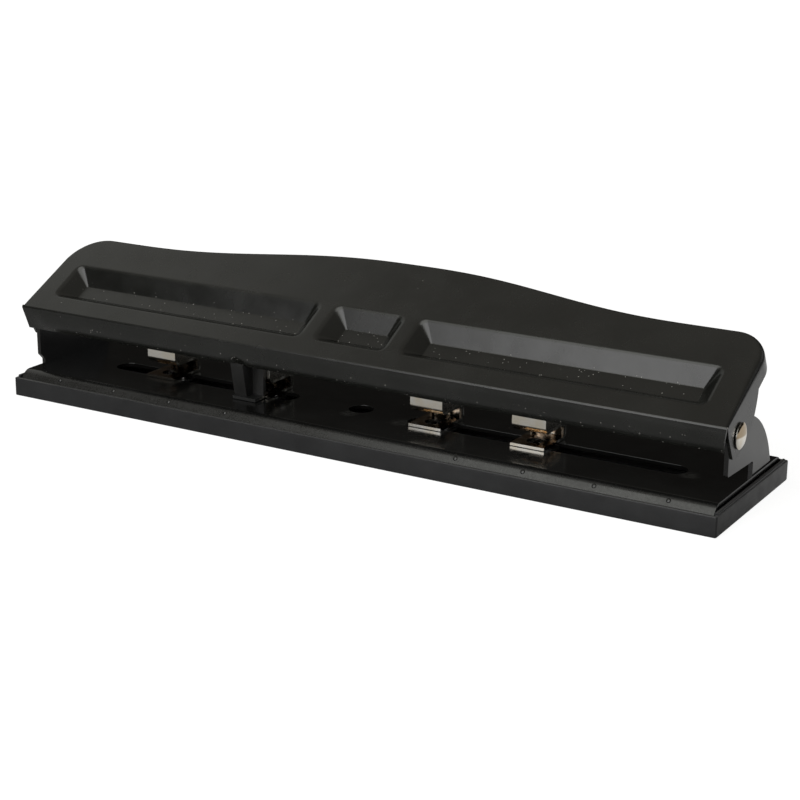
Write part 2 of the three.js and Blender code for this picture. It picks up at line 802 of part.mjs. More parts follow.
// Paper guide: a foot, a plate before the head's face with a tongue over the head's die plate,
// and a leaning rib with bumps on top
function paperGuide() {
  const half = guideWidth / 2;
  const back = -headFront - pinClearance;
  const plateFront = back - guidePlate;
  const top = headLift + guideHeight;
  const front = back - guideFootLength;
  const dieFront = back - dieLead;
  const tongueLow = headLift + headGauge + pinClearance;
  const tongueTop = tongueLow + guideTongueThickness;
  const body = prismX(polygon([
    [front, headLift],
    [dieFront, headLift],
    [dieFront, tongueLow],
    [back + guideTongue, tongueLow],
    [back + guideTongue, tongueTop],
    [back, tongueTop],
    [back, top],
    [plateFront, top],
    [plateFront, headLift + guideFootThickness],
    [front, headLift + guideFootThickness],
  ]), -half, half);
  const ribBack = (plateFront + dieFront) / 2;
  const rib = prismX(polygon([
    [ribBack, headLift],
    [ribBack, top],
    [plateFront - guideRibHead, top],
    [plateFront - guideRibFoot, headLift],
  ]), -half, -half + guideRibWidth);
  const bumps = guideBumpShares.map((share) => {
    const bump = new THREE.CylinderGeometry(guideBumpRadius, guideBumpRadius, guideRibHead, roundSegments);
    const x = -half + guideRibWidth * (1 / 2 + share);
    bump.translate(x, plateFront - guideRibHead / 2, top);
    return solidOf(bump);
  });
  return geometryOf(union([body, rib, ...bumps]));
}

// Assembly
addPiece(punch, 'chip_tray', chipTray(), blackPlastic);
addPiece(punch, 'base_frame', baseFrame(), glossBlack);

const leverGroup = new THREE.Group();
leverGroup.position.set(0, ridgeY, ridgeZ);
leverGroup.rotation.x = leverTilt;
addPiece(leverGroup, 'lever', lever(), satinBlack);
punch.add(leverGroup);

for (const [name, side] of [['left', -1], ['right', 1]]) {
  const hinge = new THREE.Group();
  hinge.position.set(side * (leverHalf + seatGap), pivotY, pivotZ);
  hinge.rotation.y = (side * Math.PI) / 2;
  addPiece(hinge, `hinge_rivet_${name}`, hingeRivet(), nickel);
  const washerLow = -rivetShank + seatGap / 2;
  const washer = ringOf(washerRadius, pivotRadius + pivotClearance, washerLow, washerLow + washerThickness);
  addPiece(hinge, `hinge_washer_${name}`, washer, whiteNylon);
  punch.add(hinge);
}

headX.forEach((x, i) => {
  const head = new THREE.Group();
  head.position.set(x, pinY, plateTop);
  const number = i + 1;
  addPiece(head, `head_bracket_${number}`, headBracket(), nickel);
  addPiece(head, `punch_pin_${number}`, punchPin(), steel);
  addPiece(head, `pin_cap_${number}`, pinCap(), nickel);
  addPiece(head, `pin_ring_${number}`, pinRing(), steel);
  addPiece(head, `return_spring_${number}`, returnSpring(springLine), steel);
  addPiece(head, `keeper_plate_${number}`, keeperPlate(), steel);
  addPiece(head, `keeper_rivet_left_${number}`, keeperRivet(-1), steel);
  addPiece(head, `keeper_rivet_right_${number}`, keeperRivet(1), steel);
  if (i === guideHead) addPiece(head, 'paper_guide', paperGuide(), blackPlastic);
  punch.add(head);
});

export default punch;
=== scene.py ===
# Looks of the four-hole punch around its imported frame.
# Lengths are in millimetres, which MM turns into metres. Only the studio's are in metres.
# +X runs along the punch, +Y to its back and +Z up. The origin is under the tray's middle.

import json
import math

import bmesh
import bpy
import numpy as np
from mathutils import Matrix, Vector, geometry


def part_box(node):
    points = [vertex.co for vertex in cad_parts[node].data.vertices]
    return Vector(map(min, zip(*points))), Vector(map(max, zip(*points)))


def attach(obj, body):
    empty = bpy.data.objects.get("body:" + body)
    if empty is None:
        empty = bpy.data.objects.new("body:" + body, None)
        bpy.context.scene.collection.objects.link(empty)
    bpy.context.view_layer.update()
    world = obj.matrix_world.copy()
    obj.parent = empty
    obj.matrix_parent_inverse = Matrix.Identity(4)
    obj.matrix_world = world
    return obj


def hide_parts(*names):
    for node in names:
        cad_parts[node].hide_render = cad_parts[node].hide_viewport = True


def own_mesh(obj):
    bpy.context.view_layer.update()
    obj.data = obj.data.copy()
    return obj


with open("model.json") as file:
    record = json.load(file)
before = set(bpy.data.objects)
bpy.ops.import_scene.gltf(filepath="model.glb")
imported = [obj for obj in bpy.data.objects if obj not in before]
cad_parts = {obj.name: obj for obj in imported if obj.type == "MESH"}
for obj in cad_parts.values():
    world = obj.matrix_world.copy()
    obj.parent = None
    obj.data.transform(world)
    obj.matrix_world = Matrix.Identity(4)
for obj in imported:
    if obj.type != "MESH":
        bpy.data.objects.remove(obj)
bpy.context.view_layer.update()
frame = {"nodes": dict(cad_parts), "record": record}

MM = 0.001


def span(node):
    """Lowest and highest corner of a CAD node, in millimetres."""
    low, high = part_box(node)
    return low / MM, high / MM


# Camera, from the solved view of the photograph
CAMERA_AT = (352.23, -570.83, 222.61)
CAMERA_YAW = math.radians(-30.91)
CAMERA_PITCH = math.radians(17.30)
CAMERA_ROLL = math.radians(0.29)
CAMERA_LENS = 84.136
CAMERA_CLIP = (0.02, 20)


def make_camera():
    """A camera where the photograph was taken from."""
    cos_p, sin_p = math.cos(CAMERA_PITCH), math.sin(CAMERA_PITCH)
    forward = Vector((math.sin(CAMERA_YAW) * cos_p, math.cos(CAMERA_YAW) * cos_p, -sin_p))
    right = Vector((math.cos(CAMERA_YAW), -math.sin(CAMERA_YAW), 0))
    up = right.cross(forward)
    cos_r, sin_r = math.cos(CAMERA_ROLL), math.sin(CAMERA_ROLL)
    axes = (cos_r * right + sin_r * up, cos_r * up - sin_r * right, -forward)
    data = bpy.data.cameras.new("view")
    data.lens = CAMERA_LENS
    data.clip_start, data.clip_end = CAMERA_CLIP
    camera = bpy.data.objects.new("view", data)
    turn = Matrix(axes).transposed().to_4x4()
    camera.matrix_world = Matrix.Translation(Vector(CAMERA_AT) * MM) @ turn
    bpy.context.scene.collection.objects.link(camera)
    bpy.context.scene.camera = camera


make_camera()


# Node materials
MIX_COLOURS = (6, 7)
MIX_COLOUR_RESULT = 2


class Paint:
    """A material's or the world's node tree, with short calls for the shared nodes."""

    def __init__(self, name, world=None):
        self.material = world or bpy.data.materials.new(name)
        self.material.use_nodes = True
        self.tree = self.material.node_tree
        self.shader = self.tree.nodes["Background" if world else "Principled BSDF"]
        self.places = self.tree.nodes.new("ShaderNodeTexCoord").outputs
        self.place = self.places["Object"]

    def node(self, kind, inputs=None, **settings):
        made = self.tree.nodes.new(kind)
        for key, value in settings.items():
            setattr(made, key, value)
        for key, value in (inputs or {}).items():
            self.put(value, made.inputs[key])
        return made

    def put(self, value, socket):
        if isinstance(value, bpy.types.NodeSocket):
            self.tree.links.new(value, socket)
        else:
            socket.default_value = value

    def set(self, **values):
        for key, value in values.items():
            self.put(value, self.shader.inputs[key.replace("_", " ")])

    def noise(self, grain, detail=2.0, place=None):
        """Noise with its grain in millimetres."""
        inputs = {"Vector": place or self.place, "Scale": 1 / (grain * MM), "Detail": detail}
        return self.node("ShaderNodeTexNoise", inputs).outputs["Fac"]

    def cells(self, spacing):
        """Distance to scattered points whose spacing is in millimetres."""
        inputs = {"Vector": self.place, "Scale": 1 / (spacing * MM)}
        return self.node("ShaderNodeTexVoronoi", inputs).outputs["Distance"]

    def stretched(self, along):
        """The object's coordinates pressed together along its axes, for grain that runs one way."""
        mapping = self.node("ShaderNodeMapping", {"Vector": self.place, "Scale": along})
        return mapping.outputs["Vector"]

    def ramp(self, value, low, high, start=0.0, end=1.0):
        inputs = {"Value": value, "From Min": low, "From Max": high, "To Min": start, "To Max": end}
        return self.node("ShaderNodeMapRange", inputs).outputs["Result"]

    def math(self, operation, first, second):
        return self.node("ShaderNodeMath", {0: first, 1: second}, operation=operation).outputs[0]

    def blend(self, share, first, second):
        """A mix of two colours, each of them a socket or three values."""
        made = self.node("ShaderNodeMix", data_type="RGBA")
        self.put(share, made.inputs["Factor"])
        for value, socket in zip((first, second), MIX_COLOURS):
            linked = isinstance(value, bpy.types.NodeSocket)
            self.put(value if linked else (*value, 1), made.inputs[socket])
        return made.outputs[MIX_COLOUR_RESULT]

    def bump(self, height, distance):
        """A bump whose distance is in millimetres."""
        inputs = {"Height": height, "Distance": distance * MM}
        return self.node("ShaderNodeBump", inputs).outputs["Normal"]


# Noise values between which a finish changes
CLOUD_RANGE = (0.35, 0.65)
GLOSS_RANGE = (0.3, 0.7)
SPOT_RANGE = (0.3, 0.6)
STAIN_AND_LIGHT_RANGE = (0.15, 0.5)
WARM_RANGE = (0.4, 0.75)
DRAWN_RANGE = (0.35, 0.7)

# Share of its reach at which a speck or a spot is full, and how dust gathers in patches
CORE = 0.45
PATCH_GRAIN = 3.1
PATCH_EDGE = 0.02

# Cosines between which a face starts to count as turned to a direction and does so in full
UPWARD_TURN = (0.6, 0.95)
STAIN_AND_LIGHT_TURN = (0.55, 0.9)
UP = (0, 0, 1)

# Dust, as its spacing and speck size in millimetres and its cover
ENAMEL_DUST = (5.5, 0.034, 0.6)
POCKET_GRIT = (1.9, 0.12, 0.44)
PLASTIC_DUST = (6.0, 0.03, 0.6)
ENAMEL_DUST_COLOUR = (0.30, 0.29, 0.27)
PLASTIC_DUST_COLOUR = (0.33, 0.33, 0.33)
PLASTIC_DUST_SHARE = 0.5
DUST_ROUGHNESS = 0.25

# Clouds, as their grain in millimetres and how much paler they are
ENAMEL_CLOUDS = (26, 1.3, 0.002)
PLASTIC_CLOUDS = (17, 1.25, 0.003)
NICKEL_CLOUDS = 4
NICKEL_WARMTH = (0.97, 0.90, 0.78)
DRAWN_SHADE = 0.72

# How far the roughness goes below and above its middle, over noise of a grain and a detail
ENAMEL_GLOSS = (0.035, 0.045)
PLASTIC_GLOSS = (0.05, 0.06)
NICKEL_GLOSS = (0.04, 0.07)
STEEL_GLOSS = (0.06, 0.08)
ENAMEL_GRAIN = (9, 4.0)
PLASTIC_GRAIN = (7, 4.0)
STEEL_GRAIN = (2.0, 3.0)

# Grain in millimetres of the finer marks, the rolling lines' stretch and the drawn marks' height
PEEL_GRAIN = 0.9
SPOT_GRAIN = 1.4
STAIN_AND_LIGHT_GRAIN = 3.0
ROLLED_GRAIN = 1.0
ROLLED_ALONG = (0.08, 3.0, 3.0)
DRAWN_GRAIN = 0.5
DRAWN_HEIGHT = 0.004
PALE_SPOT_COLOUR = (0.034, 0.034, 0.031)
DULL_ROUGHNESS = (0.07, 0.17)


def dust(paint, spacing, size, cover):
    """Small pale specks: near a scattered point, and only where a coarse noise lets them lie."""
    speck = paint.ramp(paint.cells(spacing), size, size * CORE)
    allowed = paint.ramp(paint.noise(spacing * PATCH_GRAIN, 1.0), cover, cover + PATCH_EDGE)
    return paint.math("MULTIPLY", speck, allowed)


def near(paint, place, reach):
    """One at a place in millimetres, falling softly to nothing at its reach."""
    offset = paint.node("ShaderNodeVectorMath", {0: paint.place, 1: Vector(place) * MM},
                        operation="DISTANCE")
    return paint.ramp(offset.outputs["Value"], reach * MM, reach * CORE * MM)


def height_over(paint, origin, normal, low, high):
    """Zero to one between two heights, in millimetres, over a plane through a place."""
    offset = paint.node("ShaderNodeVectorMath", {0: paint.place, 1: Vector(origin) * MM},
                        operation="SUBTRACT")
    height = paint.node("ShaderNodeVectorMath", {0: offset.outputs["Vector"], 1: normal},
                        operation="DOT_PRODUCT")
    return paint.ramp(height.outputs["Value"], low * MM, high * MM)


def facing(paint, direction, low, high):
    """Zero to one as the surface turns towards a direction."""
    surface = paint.node("ShaderNodeNewGeometry").outputs["Normal"]
    turned = paint.node("ShaderNodeVectorMath", {0: surface, 1: direction}, operation="DOT_PRODUCT")
    return paint.ramp(turned.outputs["Value"], low, high)


def cloudy(paint, colour, grain, share, lift):
    """A colour with slightly paler clouds."""
    pale = tuple(min(1.0, value * share + lift) for value in colour)
    return paint.blend(paint.ramp(paint.noise(grain, 3.0), *CLOUD_RANGE), colour, pale)


def glossy(paint, roughness, below, above, noise):
    """A roughness that a noise spreads below and above its middle."""
    return paint.ramp(noise, *GLOSS_RANGE, roughness - below, roughness + above)


def enamel(name, colour, roughness, orange_peel, speck, settled=None, pale_spots=(), dulled=None):
    """Stoved enamel on pressed steel: orange peel, cloudy gloss, a little dust and paler spots."""
    paint = Paint(name)
    base = cloudy(paint, colour, *ENAMEL_CLOUDS)
    specks = dust(paint, *ENAMEL_DUST)
    if settled:
        grit = paint.math("MULTIPLY", dust(paint, *POCKET_GRIT), height_over(paint, *settled))
        specks = paint.math("MAXIMUM", specks, grit)
    base = paint.blend(paint.math("MULTIPLY", specks, speck), base, ENAMEL_DUST_COLOUR)
    # Paler blotched spots near the listed places.
    for place, reach in pale_spots:
        patches = paint.ramp(paint.noise(SPOT_GRAIN), *SPOT_RANGE)
        spot_share = paint.math("MULTIPLY", near(paint, place, reach), patches)
        base = paint.blend(spot_share, base, PALE_SPOT_COLOUR)
    fine = paint.noise(PEEL_GRAIN)
    rough = glossy(paint, roughness, *ENAMEL_GLOSS, paint.noise(*ENAMEL_GRAIN))
    rough = paint.math("ADD", rough, paint.math("MULTIPLY", specks, DUST_ROUGHNESS))
    if dulled:
        dull = paint.ramp(fine, *GLOSS_RANGE, *DULL_ROUGHNESS)
        dull = paint.math("MULTIPLY", height_over(paint, *dulled), dull)
        rough = paint.math("ADD", rough, dull)
    paint.set(Base_Color=base, Roughness=rough, Normal=paint.bump(fine, orange_peel))
    return paint.material


def moulded(name, colour, roughness, spark, depth, upward_tint=None):
    """Injection-moulded plastic with a spark grain and, on faces that look up, a paler tint."""
    paint = Paint(name)
    base = cloudy(paint, colour, *PLASTIC_CLOUDS)
    # Faces that look up turn paler.
    if upward_tint:
        base = paint.blend(facing(paint, UP, *UPWARD_TURN), base, upward_tint)
    specks = paint.math("MULTIPLY", dust(paint, *PLASTIC_DUST), PLASTIC_DUST_SHARE)
    base = paint.blend(specks, base, PLASTIC_DUST_COLOUR)
    rough = glossy(paint, roughness, *PLASTIC_GLOSS, paint.noise(*PLASTIC_GRAIN))
    normal = paint.bump(paint.noise(spark, 3.0), depth)
    paint.set(Base_Color=base, Roughness=rough, Normal=normal)
    return paint.material


def plated(name, colour, roughness, depth, stains_and_painted_light=()):
    """Bright nickel over rolled strip: soft clouds, faint rolling lines, and faces tinted by
    stains, painted reflections and painted shade.
    """
    paint = Paint(name)
    warm = tuple(value * share for value, share in zip(colour, NICKEL_WARMTH))
    base = paint.blend(paint.ramp(paint.noise(NICKEL_CLOUDS, 3.0), *WARM_RANGE), colour, warm)
    # Tints on faces that look one way past a plane, blotched by noise: real stains, and painted
    # reflections and painted shade as well.
    for plane, direction, stain_and_light_colour in stains_and_painted_light:
        turned = facing(paint, direction, *STAIN_AND_LIGHT_TURN)
        share = paint.math("MULTIPLY", height_over(paint, *plane), turned)
        share = paint.math("MULTIPLY", share, paint.ramp(paint.noise(STAIN_AND_LIGHT_GRAIN), *STAIN_AND_LIGHT_RANGE))
        base = paint.blend(share, base, stain_and_light_colour)
    lines = paint.noise(ROLLED_GRAIN, place=paint.stretched(ROLLED_ALONG))
    rough = glossy(paint, roughness, *NICKEL_GLOSS, lines)
    paint.set(Base_Color=base, Roughness=rough, Metallic=1.0, Normal=paint.bump(lines, depth))
    return paint.material


def turned_steel(name, colour, roughness, along):
    """Plain steel with the marks of drawing or turning along one axis."""
    paint = Paint(name)
    lines = paint.noise(DRAWN_GRAIN, 3.0, place=paint.stretched(along))
    dark = tuple(value * DRAWN_SHADE for value in colour)
    base = paint.blend(paint.ramp(lines, *DRAWN_RANGE), colour, dark)
    rough = glossy(paint, roughness, *STEEL_GLOSS, paint.noise(*STEEL_GRAIN))
    normal = paint.bump(lines, DRAWN_HEIGHT)
    paint.set(Base_Color=base, Roughness=rough, Metallic=1.0, Normal=normal)
    return paint.material


# Planes over which a finish changes: a place, a normal and the heights of none and all of it
POCKET_FLOOR = ((0, -27.7, 35.8), (0, -0.483, 0.875), -3.8, -4.8)
FRONT_BEVEL = ((0, -27.2, 0), (0, -1, 0), 0.0, 1.6)
DIE_PLATE = ((0, 0, 11.0), UP, 0.9, 0.3)
CUT_EDGES = ((0, 0, 0), UP, 0.0, 1.0)
THROAT_END = ((0, 0.6, 0), (0, 1, 0), 0.0, 0.9)
RIVET_LOW = ((0, 0, 29.8), UP, 0.0, 0.6)

NICKEL = (0.80, 0.775, 0.72)

# Stains and painted light, as a plane, the direction that the tinted faces look in and a colour
HEAD_STAINS_AND_PAINTED_LIGHT = (
    # Painted warm reflection: brown on the die plates' faces that look up.
    (DIE_PLATE, UP, (0.30, 0.18, 0.09)),
    # Painted shade: near-black on the faces at the throat's end that look forward.
    (THROAT_END, (0, -1, 0), (0.004, 0.004, 0.0035)),
    (CUT_EDGES, (1, 0, 0), (0.09, 0.085, 0.07)),
)
# Painted warm reflection: brown on the rivet head's upper part, on faces that look to the right.
RIVET_PAINTED_REFLECTION = ((RIVET_LOW, (1, 0, 0), (0.42, 0.33, 0.22)),)

# Paler spots on the base plate, as a place and a reach
PALE_SPOTS = (
    ((129.5, -7.0, 10), 4.2),
    ((-52.0, 8.0, 10), 5.0),
    ((-6.0, -9.5, 10), 4.0),
    ((16.0, -9.0, 10), 4.5),
)

# A finish for each slot of the record, and others for the heads and rivets
FINISHES = {
    "lever_enamel": (enamel, dict(colour=(0.0036, 0.0038, 0.0030), roughness=0.25,
                     orange_peel=0.006, speck=0.8, settled=POCKET_FLOOR)),
    "frame_enamel": (enamel, dict(colour=(0.0030, 0.0030, 0.0028), roughness=0.17,
                     orange_peel=0.005, speck=0.6, pale_spots=PALE_SPOTS, dulled=FRONT_BEVEL)),
    "tray_plastic": (moulded, dict(colour=(0.0036, 0.0037, 0.0043), roughness=0.42, spark=0.35,
                     depth=0.008, upward_tint=(0.045, 0.045, 0.045))),
    "guide_plastic": (moulded, dict(colour=(0.0065, 0.0065, 0.0062), roughness=0.40, spark=0.30,
                      depth=0.008)),
    "washer_nylon": (moulded, dict(colour=(0.62, 0.60, 0.55), roughness=0.5, spark=0.5,
                     depth=0.01)),
    "nickel": (plated, dict(colour=NICKEL, roughness=0.16, depth=0.003)),
    "head_nickel": (plated, dict(colour=NICKEL, roughness=0.14, depth=0.002, stains_and_painted_light=HEAD_STAINS_AND_PAINTED_LIGHT)),
    # Painted shade: the heads' closed sides are a dark copy of the nickel.
    "side_nickel": (plated, dict(colour=(0.07, 0.067, 0.06), roughness=0.25, depth=0.002)),
    "rivet_nickel": (plated, dict(colour=(0.83, 0.80, 0.74), roughness=0.10, depth=0.001,
                     stains_and_painted_light=RIVET_PAINTED_REFLECTION)),
    "spring_steel": (turned_steel, dict(colour=(0.52, 0.52, 0.51), roughness=0.30,
                     along=(3.0, 3.0, 0.2))),
}
MATERIALS = {name: make(name, **values) for name, (make, values) in FINISHES.items()}
SLOTS = {row["node"]: row["material_slot"] for row in frame["record"]["subparts"]}


# Edges, with widths in millimetres and angles in degrees
CAD_EDGE = 0.15
EDGE_ANGLE = 40
GAUGE_EDGE_ANGLE = 60
CREASE_ANGLE = 38
NORMAL_WEIGHT = 80


def round_edges(obj, width, segments=2, angle=EDGE_ANGLE):
    """Rounds the edges at which faces meet at more than an angle."""
    bevel = obj.modifiers.new("edges", "BEVEL")
    bevel.width = width * MM
    bevel.segments = segments
    bevel.limit_method = "ANGLE"
    bevel.angle_limit = math.radians(angle)


def dress_cad_nodes():
    """CAD nodes get their slot's material and rounded edges. Most are replaced further down."""
    for name, obj in frame["nodes"].items():
        obj.data.materials.clear()
        obj.data.materials.append(MATERIALS[SLOTS[name]])
        round_edges(obj, CAD_EDGE)


dress_cad_nodes()


# Mesh tools
WELD = 0.004
FLAT_WELD = 1e-5
FIND_STEPS = 4000
BEVEL_STEPS = 3


def mesh_object(name, points, faces, finish, body, outward=True):
    """A smooth-shaded mesh from points in millimetres, riding on a body."""
    mesh = bpy.data.meshes.new(name)
    mesh.from_pydata([Vector(point) * MM for point in points], [], faces)
    build = bmesh.new()
    build.from_mesh(mesh)
    bmesh.ops.remove_doubles(build, verts=build.verts, dist=WELD * MM)
    loose = [vert for vert in build.verts if not vert.link_faces]
    bmesh.ops.delete(build, geom=loose, context="VERTS")
    if outward:
        bmesh.ops.recalc_face_normals(build, faces=build.faces)
    build.to_mesh(mesh)
    build.free()
    mesh.materials.append(MATERIALS[finish])
    for polygon in mesh.polygons:
        polygon.use_smooth = True
    obj = bpy.data.objects.new(name, mesh)
    bpy.context.scene.collection.objects.link(obj)
    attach(obj, body)
    return obj


def soften(obj, width, segments=2, angle=EDGE_ANGLE):
    """Rounded edges, then a crease wherever faces still meet at more than the crease angle."""
    if width:
        round_edges(obj, width, segments, angle)
    crease = obj.modifiers.new("crease", "EDGE_SPLIT")
    crease.split_angle = math.radians(CREASE_ANGLE)
    normals = obj.modifiers.new("normals", "WEIGHTED_NORMAL")
    normals.weight = NORMAL_WEIGHT
    normals.keep_sharp = True


def thicken(obj, gauge, side, width):
    """A sheet's thickness, grown to the inner side of its normals (side -1) or the outer (1)."""
    shell = obj.modifiers.new("gauge", "SOLIDIFY")
    shell.thickness = gauge * MM
    shell.offset = side
    shell.use_even_offset = True
    soften(obj, width, angle=GAUGE_EDGE_ANGLE)


def rounded(corners, steps=6, closed=False):
    """A line through corners of x, y and radius, each rounded by its radius."""
    line = []
    count = len(corners)
    for i, (x, y, radius) in enumerate(corners):
        here = Vector((x, y))
        if radius == 0 or (not closed and i in (0, count - 1)):
            line.append(here)
            continue
        before = (Vector(corners[i - 1][:2]) - here).normalized()
        after = (Vector(corners[(i + 1) % count][:2]) - here).normalized()
        half = before.angle(after) / 2
        middle = here + (before + after).normalized() * radius / math.sin(half)
        start = here + before * radius / math.tan(half) - middle
        end = here + after * radius / math.tan(half) - middle
        for step in range(steps + 1):
            line.append(middle + start.slerp(end, step / steps).normalized() * radius)
    return line


def rounded_box(x, y, radius, steps=6):
    """A rounded rectangle as a closed loop."""
    corners = [(x[0], y[0]), (x[1], y[0]), (x[1], y[1]), (x[0], y[1])]
    return rounded([(*corner, radius) for corner in corners], steps, closed=True)


def circle(x, y, radius, steps=32):
    """A closed loop round a centre."""
    turns = [2 * math.pi * i / steps for i in range(steps)]
    return [Vector((x + radius * math.cos(turn), y + radius * math.sin(turn))) for turn in turns]


def inside(point, loop):
    """Whether a point lies in a closed loop."""
    hit = False
    for first, second in zip(loop, loop[1:] + loop[:1]):
        if (first[1] > point[1]) != (second[1] > point[1]):
            share = (point[1] - first[1]) / (second[1] - first[1])
            if point[0] < first[0] + (second[0] - first[0]) * share:
                hit = not hit
    return hit


def pattern(outer, holes=(), lines=()):
    """Triangles of a flat pattern with holes, none of them crossing the lines."""
    points, edges = [], []
    for loop in (outer, *holes):
        first, count = len(points), len(loop)
        points.extend(Vector(point[:2]) for point in loop)
        edges.extend((first + i, first + (i + 1) % count) for i in range(count))
    for line in lines:
        first = len(points)
        points.extend(Vector(point[:2]) for point in line)
        edges.extend((first + i, first + i + 1) for i in range(len(line) - 1))
    flat, _, triangles, *_ = geometry.delaunay_2d_cdt(points, edges, [], 0, FLAT_WELD)
    kept = []
    for face in triangles:
        middle = sum((flat[i] for i in face), Vector((0, 0))) / len(face)
        if inside(middle, outer) and not any(inside(middle, hole) for hole in holes):
            kept.append(face)
    return flat, kept


def end_face(row, columns):
    """One face over a whole row of points."""
    return tuple(range(row * columns, (row + 1) * columns))


def grid_faces(rows, columns, closed=False):
    """Quads between rows of points; closed joins the last column to the first."""
    faces = []
    for row in range(rows - 1):
        for column in range(columns - (0 if closed else 1)):
            beside = (column + 1) % columns
            faces.append((row * columns + column, row * columns + beside,
                          (row + 1) * columns + beside, (row + 1) * columns + column))
    return faces


class Profile:
    """A bent strip's section: developed length to a place on the section."""

    def __init__(self, line):
        self.line = line
        steps = [(second - first).length for first, second in zip(line, line[1:])]
        self.marks = [0.0, *np.cumsum(steps)]
        self.length = self.marks[-1]

    def at(self, length):
        """The place on the section at a developed length."""
        x = np.interp(length, self.marks, [point[0] for point in self.line])
        y = np.interp(length, self.marks, [point[1] for point in self.line])
        return float(x), float(y)

    def find(self, wanted, low, high, axis=0):
        """The length at which a coordinate is reached between two lengths."""
        tries = np.linspace(low, high, FIND_STEPS)
        values = np.array([self.at(length)[axis] for length in tries])
        return float(tries[np.argmin(np.abs(values - wanted))])


def bent_strip(name, profile, x, holes, finish, body, gauge, side, width):
    """A sheet whose section lies in Y and Z, drawn along X, with holes cut in its flat pattern."""
    outer = [(x[0], 0), (x[1], 0), (x[1], profile.length), (x[0], profile.length)]
    lines = [[(x[0], mark), (x[1], mark)] for mark in profile.marks[1:-1]]
    flat, faces = pattern(outer, holes, lines)
    points = [(point[0], *profile.at(point[1])) for point in flat]
    obj = mesh_object(name, points, faces, finish, body, outward=False)
    thicken(obj, gauge, side, width)
    return obj


def lathe(name, profile, place, turn, finish, body, steps=48, width=0.0):
    """A turned piece: a profile of radius and height about Z, turned and then put in place."""
    points = []
    for radius, height in profile:
        for i in range(steps):
            angle = 2 * math.pi * i / steps
            point = Vector((radius * math.cos(angle), radius * math.sin(angle), height))
            points.append(turn @ point + Vector(place))
    faces = grid_faces(len(profile), steps, closed=True)
    obj = mesh_object(name, points, faces, finish, body)
    soften(obj, width)
    return obj


def tube(name, line, radius, sides, finish, body):
    """A round wire along a line of points, closed at both ends."""
    points = []
    for i, point in enumerate(line):
        along = (line[min(i + 1, len(line) - 1)] - line[max(i - 1, 0)]).normalized()
        across = along.cross(Vector(UP)).normalized()
        over = along.cross(across)
        for k in range(sides):
            turn = 2 * math.pi * k / sides
            points.append(point + (across * math.cos(turn) + over * math.sin(turn)) * radius)
    faces = grid_faces(len(line), sides, closed=True)
    faces += [end_face(0, sides), end_face(len(line) - 1, sides)]
    return mesh_object(name, points, faces, finish, body)


def slab(name, loop, across, gauge, axis, finish, body, width):
    """A flat plate from a closed loop, thickened along one axis."""
    key = lambda point: (round(point[0], 4), round(point[1], 4))
    flat, faces = pattern(loop)
    count = len(flat)
    points = []
    for level in (across, across + gauge):
        for point in flat:
            place = [point[0], point[1]]
            place.insert(axis, level)
            points.append(place)
    place_of = {key(point): i for i, point in enumerate(flat)}
    rim = [place_of[key(point)] for point in loop]
    sides = [(a, b, b + count, a + count) for a, b in zip(rim, rim[1:] + rim[:1])]
    top = [tuple(i + count for i in face) for face in faces]
    obj = mesh_object(name, points, faces + top + sides, finish, body)
    soften(obj, width, BEVEL_STEPS)
    return obj


# Steps of large and small bends
BEND_STEPS = 8
ROUND_STEPS = 5

SIDES = {"left": -1, "right": 1}
QUARTER = math.pi / 2
UPRIGHT = Matrix.Identity(3)
SIDEWAYS = {1: Matrix.Rotation(QUARTER, 3, "Y"), -1: Matrix.Rotation(-QUARTER, 3, "Y")}


# Lever, in its own frame: u along the ridge, v up the slope of the plate and w out of the plate
LEVER_TILT = math.radians(28.9)
RIDGE_Y = -27.7
RIDGE_Z = 35.8
LEVER_HALF = 149.25
LEVER_GAUGE = 1.2
LEVER_EDGE = 0.25
RIM_DEPTH = 8.0
WALL_STEPS = 4

# Ridge and flange. The flange has a bulge that ends flat, and a dent over the paper guide.
RIDGE_RADIUS = 1.1
RIDGE_LAP = 1
FLANGE_DEPTH = 9.25
FLANGE_FLARE = 2.3
FLANGE_TAPER = 1.3
FLANGE_BULGE = 0.9
FLANGE_STEPS = 12
FLANGE_STOPS = 181
FLAT_END = 14.0
PLATE_FRONT = RIDGE_RADIUS * math.tan((QUARTER - math.atan2(FLANGE_FLARE, FLANGE_DEPTH)) / 2)
DENT_AT = -46.0
DENT_REACH = 5.0
DENT_DEPTH = 0.8
DENT_FADE = 0.4

# Sides, with the left as -1 and the right as 1, and rear
SIDE_RADIUS = (1.3, 3.0)
SIDE_GROWTH = (3, 27)
SIDE_START = 2
REAR_RADIUS = 1.8
REAR_STEPS = 90
SLOPE_REACH = 0.05
CROWN_X = 5.0
CROWN_V = 55.8
SHOULDER_V = {-1: 44.9, 1: 45.8}
CROWN_RUN = {-1: 128.0, 1: 117.0}
CORNER_RADIUS = {-1: 16.0, 1: 12.5}
CORNER_STEPS = 16

# Cheeks, with the curves of their lower edge as v and depth
CHEEK_INSET = 0.3
CHEEK_LEAD = 3
CHEEK_CURVES = (
    ((CHEEK_INSET, 12.1), (CHEEK_INSET, 17.57), (8.05, 17.57)),
    ((8.05, 17.57), (14.55, 17.57), (21.05, 14.2)),
    ((21.05, 14.2), (25.3, 11.1), (27.45, RIM_DEPTH)),
)

# Pockets, with their corners' radii at the rim and the floor, and their edges' radii there
POCKET_DEPTH = 5.5
POCKET_RUN = 5.8
POCKET_V = (8.7, 27.1)
POCKETS_U = ((-138.7, -21.4), (-15.0, 15.0), (21.4, 138.7))
POCKET_CORNER = (3.0, 0.6)
POCKET_EDGE = (2.8, 0.8)
POCKET_MARGIN = 3


